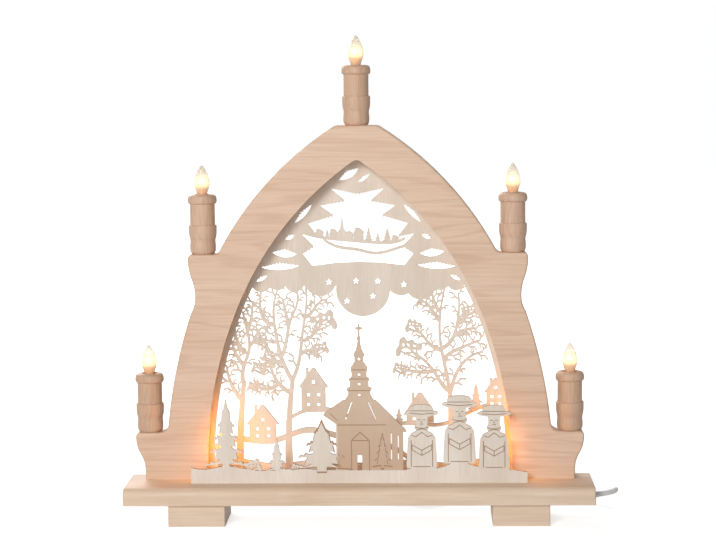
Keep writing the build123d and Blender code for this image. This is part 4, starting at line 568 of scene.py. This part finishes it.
def coil_points():
    """Coil points: a spiral in, half a turn that climbs a layer, and a spiral out again, in millimetres."""
    total = 2 * coil_turns_each_way + 0.5
    turns = np.linspace(0, total, round(total * coil_points_each_turn) + 1)
    inner = coil_outer_radius - coil_pitch * coil_turns_each_way
    part = np.clip((turns - coil_turns_each_way) / 0.5, 0, 1)
    past = np.maximum(turns - coil_turns_each_way - 0.5, 0)
    radius = np.where(turns <= coil_turns_each_way, coil_outer_radius - coil_pitch * turns,
                      inner - coil_pitch * 0.5 * (part - part ** 2) + coil_pitch * past)
    rise = coil_pitch * (1 - np.cos(math.pi * part)) / 2
    grow = 1 / math.cos(math.pi / coil_points_each_turn)
    angle = -math.pi / 2 - 2 * math.pi * turns
    x = coil_center[0] + radius * grow * np.cos(angle)
    y = coil_center[1] + radius * grow * np.sin(angle)
    return np.stack([x, y, coil_floor + rise], axis=-1)


def plug(material):
    """Moulded plug: superellipse sections along its length, ribbed at the waist, with a ringed neck.

    Half width and half height follow the distance from the nose. The sections go from nearly square
    at the nose to round at the neck, and two cosines add the grip ribs and the neck's rings.
    """
    run = np.linspace(0, plug_length, plug_rows)

    def along_run(values):
        """Straight lines between the stations, evened out over a few rows."""
        even = np.ones(plug_smooth_rows) / plug_smooth_rows
        return np.convolve(np.pad(np.interp(run, plug_stations, values), plug_smooth_rows // 2, mode="edge"),
                           even, mode="valid")

    def ribs(start, end, ramp_in, ramp_out, pitch, depth):
        """Grooves: a raised cosine of the run, faded in and out at its ends."""
        fade = np.clip((run - start) / ramp_in, 0, 1) * np.clip((end - run) / ramp_out, 0, 1)
        return fade * depth * (1 + np.cos(2 * math.pi * run / pitch)) / 2

    nose = np.sqrt(np.clip(1 - (1 - np.clip(run / plug_nose_round, 0, 1)) ** 2, 0, 1))
    shrink = plug_nose_round * (1 - nose)
    groove = ribs(*grip_ribs) + ribs(*neck_rings)
    power = 2 / np.interp(run, plug_square_stations, plug_square_powers)[:, None]
    turn = np.linspace(0, 2 * math.pi, plug_around, endpoint=False)[None, :]
    cos, sin = np.cos(turn), np.sin(turn)
    wide = along_run(plug_half_widths) - shrink - groove
    high = along_run(plug_half_heights) - shrink - groove * rib_height_share
    side = np.sign(cos) * np.abs(cos) ** power * wide[:, None]
    rise = np.sign(sin) * np.abs(sin) ** power * high[:, None]
    x = np.repeat((plug_neck_end[0] - plug_length + run)[:, None], plug_around, axis=1)
    points = np.stack([x, plug_neck_end[1] + side, plug_neck_end[2] + rise], axis=-1)
    ends = [np.repeat(row.mean(axis=0)[None, None], plug_around, axis=1) for row in (points[0], points[-1])]
    piece = grid_mesh("plug_shell", np.concatenate([ends[0], points, ends[1]]) * mm, material)
    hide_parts("plug_body")
    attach(piece, "stand")
    return piece


def lead(material, plug_piece):
    """Lead: one smooth line through its route, its coil and its last stretch, with a round section."""
    coil = coil_points()
    end = coil[-1]
    leave = end[0] - 2 * cord_radius
    points = [cord_start] + cord_route + [tuple(place) for place in coil]
    points += [(leave, end[1], end[2]), (leave - tail_start_run, end[1], end[2]),
               (plug_neck_end[0] + tail_start_run, plug_neck_end[1], plug_neck_end[2]), plug_neck_end]
    curve = bpy.data.curves.new("lead", "CURVE")
    curve.dimensions = "3D"
    spline = curve.splines.new("NURBS")
    spline.points.add(len(points) - 1)
    for point, place in zip(spline.points, points):
        point.co = (place[0] * mm, place[1] * mm, place[2] * mm, 1.0)
    spline.order_u = 3
    spline.use_endpoint_u = True
    spline.resolution_u = 6
    curve.bevel_depth = cord_radius * mm
    curve.bevel_resolution = 5
    curve.use_fill_caps = True
    curve.materials.append(material)
    piece = bpy.data.objects.new("lead", curve)
    bpy.context.scene.collection.objects.link(piece)
    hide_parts("cord", "cord_coil", "cord_tail")
    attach(piece, "stand")


def dress_nodes():
    """Materials of the solid model's own pieces; gives those of the lead and the plug."""
    # Arch: warm, pale and dull, with level grain that is just visible at arm's length
    arch = plain_wood("planed_alder_arch", "BE9678", "D9B99F", "E2C6AF", 0, fibre=1.6, ring=5.0, lines=0.3)
    # Board and feet: a shade yellower and calmer, so that they read apart from the arch
    board = plain_wood("planed_lime_board", "CBA887", "DEC3A9", "E8D2BC", 0, fibre=1.2, ring=7.0, lines=0.2)
    # Cups and sleeves: browner, with fine upright grain that follows the turning
    turned = plain_wood("turned_alder", "AE8366", "C9A589", "D6B59B", 2, fibre=0.9, ring=2.0, lines=0.25)
    # Strip over the wires at the back: a thin pale band whose grain runs up the leg
    veneer = plain_wood("veneer_strip", "CBA887", "E0C6AC", "EAD5BF", 2, fibre=0.6, ring=5.0, lines=0.3)
    # Sheets: flat, nearly white pictures outlined by thin tan cut edges. The rear sheet's colours are a
    # shade darker than the front's, as painted shade
    shaded_rear_sheet = fretwork_plywood("rear_birch_plywood_painted_shade", rear_sheet_front * mm, "CAB8A4", "D9CBBA", "E6DACE")
    # Front sheet: its church gets painted shade and painted orange lamp glow
    front_sheet = fretwork_plywood("front_birch_plywood", front_sheet_front * mm, "D2C1AF", "E0D3C4",
                                   "EDE4DA", church=True)
    # Underside cover: dead matt brown, seen only from below
    fibreboard = moulded_plastic("brown_fibreboard", "8D6C4E", 0.7, grit=0.8)
    # Screws and plug pins: cool grey with small clear highlights
    steel = plated_metal("zinc_plated_steel", "B9BCBD", 0.32)
    # Nails, lamp shells and contacts: warm yellow glints
    brass = plated_metal("drawn_brass", "C9A75E", 0.28)
    # Sockets: creamy, with a soft even sheen
    ivory = moulded_plastic("ivory_socket_plastic", "E9E2D0", 0.4)
    # Lead and plug: clean white with one long soft highlight, a little glossier on the plug
    sheath = moulded_plastic("white_sheath", "EDEDEA", 0.38)
    plug_vinyl = moulded_plastic("white_moulded_plug", "EDEDEA", 0.34)
    by_material = [(arch, ["arch_frame"]), (board, ["base_board", "foot_left", "foot_right"]),
                   (veneer, ["wire_cover"]), (shaded_rear_sheet, ["rear_fretwork"]),
                   (front_sheet, ["front_fretwork"]), (fibreboard, ["base_cover", "cord_clamp"]),
                   (steel, ["cover_screws", "foot_screws", "arch_screws", "plug_pins"]),
                   (brass, ["rear_pins", "socket_shells", "socket_contacts"]),
                   (sheath, ["arch_wires", "base_wires"]),
                   (turned, ["candle_" + name + part for name in candle_names
                             for part in ("_cup", "_sleeve")]),
                   (ivory, ["socket_" + name for name in lamp_names])]
    for material, nodes in by_material:
        for node in nodes:
            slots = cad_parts[node].data.materials
            slots.clear()
            slots.append(material)
    return sheath, plug_vinyl


def lamps():
    """Seven lit lamps; the two behind the front sheet give the orange glow on the wood round them."""
    # Candle glass: tan at the neck, nearly white round the filament and clear at the tip
    candle_glass = lit_glass(
        "candle_lamp_glass",
        ((0.0, "DDB896"), (0.26, "EAC6A0"), (0.36, "FFECB8"), (0.55, "FFF3D2"), (0.72, "EADCC0"),
         (1.0, "D0BFA0")),
        ((0.0, 0.12), (0.24, 0.2), (0.38, 0.6), (0.52, 0.52), (0.74, 0.08), (1.0, 0.0)),
        ((0.0, 0.6), (0.26, 0.6), (0.4, 0.75), (0.55, 0.6), (0.72, 0.22), (1.0, 0.3)))
    # Glass behind the front sheet: a strong orange spot through the gaps of the fretwork
    inner_glass = lit_glass(
        "inner_lamp_glass",
        ((0.0, "FF8A28"), (0.3, "FFA23C"), (0.5, "FFC060"), (1.0, "FFB050")),
        ((0.0, 0.6), (0.3, 1.2), (0.5, 1.6), (0.8, 0.8), (1.0, 0.3)),
        ((0.0, 0.7), (0.5, 0.8), (0.8, 0.4), (1.0, 0.3)))
    # Stem: a faint rosy core in the neck
    stem = lit_glass("lamp_stem_glass", ((0.0, "F0C8A0"), (1.0, "F9DDB8")), ((0.0, 0.35), (1.0, 0.4)),
                     ((0.0, 0.5), (1.0, 0.5)))
    # Wire: the one part that burns out to white
    wire = glowing_wire("tungsten_filament", "FFE9B8", 12.0)
    # Cap: bright cool bands of the thread, with a black ring and a dull grey nib under it
    metal = plated_metal("nickel_plated_cap", "C8C6C2", 0.25)
    insulator = moulded_plastic("black_vitrite", "1B1A1A", 0.2)
    solder = plated_metal("tin_solder", "A9AAAB", 0.4)
    for name in lamp_names:
        inner = name not in candle_names
        glass = flame_glass(name, inner_glass if inner else candle_glass)
        filament(name, wire, stem, metal)
        screw_cap(name, metal, insulator, solder)
        if inner:
            glass.visible_shadow = False
            add_light("glow_" + name, "POINT", inner_lamp_power,
                      lamp_center(name) + np.array([0, 0, inner_lamp_rise * mm]),
                      shadow_soft_size=inner_lamp_radius * mm, color=colour(inner_lamp_colour)[:3])


def add_light(name, kind, power, place, **settings):
    """Light of one kind that the camera doesn't see itself."""
    data = bpy.data.lights.new(name, kind)
    data.energy = power
    for setting, value in settings.items():
        setattr(data, setting, value)
    piece = bpy.data.objects.new(name, data)
    piece.location = place
    piece.visible_camera = False
    bpy.context.scene.collection.objects.link(piece)
    return piece


def camera():
    """Camera at the photograph's place: yaw about Z, then pitch, then roll about the view."""
    data = bpy.data.cameras.new("camera")
    data.sensor_width = sensor_width
    data.lens = sensor_width * focal_pixels / photo_width
    data.clip_start = camera_near
    data.clip_end = camera_far
    piece = bpy.data.objects.new("camera", data)
    bpy.context.scene.collection.objects.link(piece)
    right = Vector((math.cos(camera_yaw), math.sin(camera_yaw), 0))
    ahead = Vector((-math.sin(camera_yaw), math.cos(camera_yaw), 0))
    forward = ahead * math.cos(camera_pitch) + Vector((0, 0, math.sin(camera_pitch)))
    up = -ahead * math.sin(camera_pitch) + Vector((0, 0, math.cos(camera_pitch)))
    side = right * math.cos(camera_roll) + up * math.sin(camera_roll)
    top = up * math.cos(camera_roll) - right * math.sin(camera_roll)
    turn = Matrix((side, top, -forward)).transposed()
    piece.matrix_world = Matrix.Translation(camera_place) @ turn.to_4x4()
    bpy.context.scene.camera = piece


def white_world():
    """World that is white to the camera and a weak grey light to the object."""
    world = bpy.data.worlds.new("studio")
    bpy.context.scene.world = world
    world.use_nodes = True
    tree = world.node_tree
    tree.nodes.clear()
    strength = add_node(tree, "MapRange", {0: seen_rays(tree), 1: 0.0, 2: 1.0, 3: world_light, 4: 1.0})
    back = add_node(tree, "Background", {"Color": (1, 1, 1, 1), "Strength": strength})
    add_node(tree, "OutputWorld", {"Surface": back})


def pale_floor():
    """Plain floor: grey that catches light and shadow, plus a white of its own to the camera.

    The own white grows with the distance from the object, so that the floor meets the white world.
    """
    mesh = bpy.data.meshes.new("floor")
    corners = [(-floor_reach, -floor_reach, 0), (floor_reach, -floor_reach, 0),
               (floor_reach, floor_reach, 0), (-floor_reach, floor_reach, 0)]
    mesh.from_pydata(corners, [], [(0, 1, 2, 3)])
    floor = bpy.data.objects.new("floor", mesh)
    bpy.context.scene.collection.objects.link(floor)
    material, tree = new_material("pale_floor")
    diffuse = add_node(tree, "BsdfDiffuse", {"Color": (floor_grey, floor_grey, floor_grey, 1)})
    coords = add_node(tree, "TexCoord").outputs["Object"]
    away = add_node(tree, "VectorMath", {0: coords}, operation="LENGTH").outputs["Value"]
    white = add_node(tree, "MapRange", {0: away, 1: floor_grows[0], 2: floor_grows[1], 3: floor_white,
                                        4: 1.0})
    glow = add_node(tree, "Emission", {"Color": (1, 1, 1, 1), "Strength": white})
    black = add_node(tree, "Emission", {"Strength": 0.0})
    lit = add_node(tree, "MixShader", {0: seen_rays(tree), 1: black, 2: glow})
    both = add_node(tree, "AddShader", {0: diffuse, 1: lit})
    add_node(tree, "OutputMaterial", {"Surface": both})
    mesh.materials.append(material)


def studio():
    """White floor that keeps the shadow, a white world to the camera, and three soft lamps."""
    bpy.context.scene.view_settings.view_transform = "Standard"
    white_world()
    pale_floor()
    for name, (place, side, power) in studio_lamps.items():
        piece = add_light(name, "AREA", power, place, shape="SQUARE", size=side)
        way = Vector(lamps_target) - Vector(place)
        turn = way.to_track_quat("-Z", "Y").to_matrix().to_4x4()
        piece.matrix_world = Matrix.Translation(place) @ turn


camera()
sheath, plug_vinyl = dress_nodes()
lead(sheath, plug(plug_vinyl))
lamps()
studio()
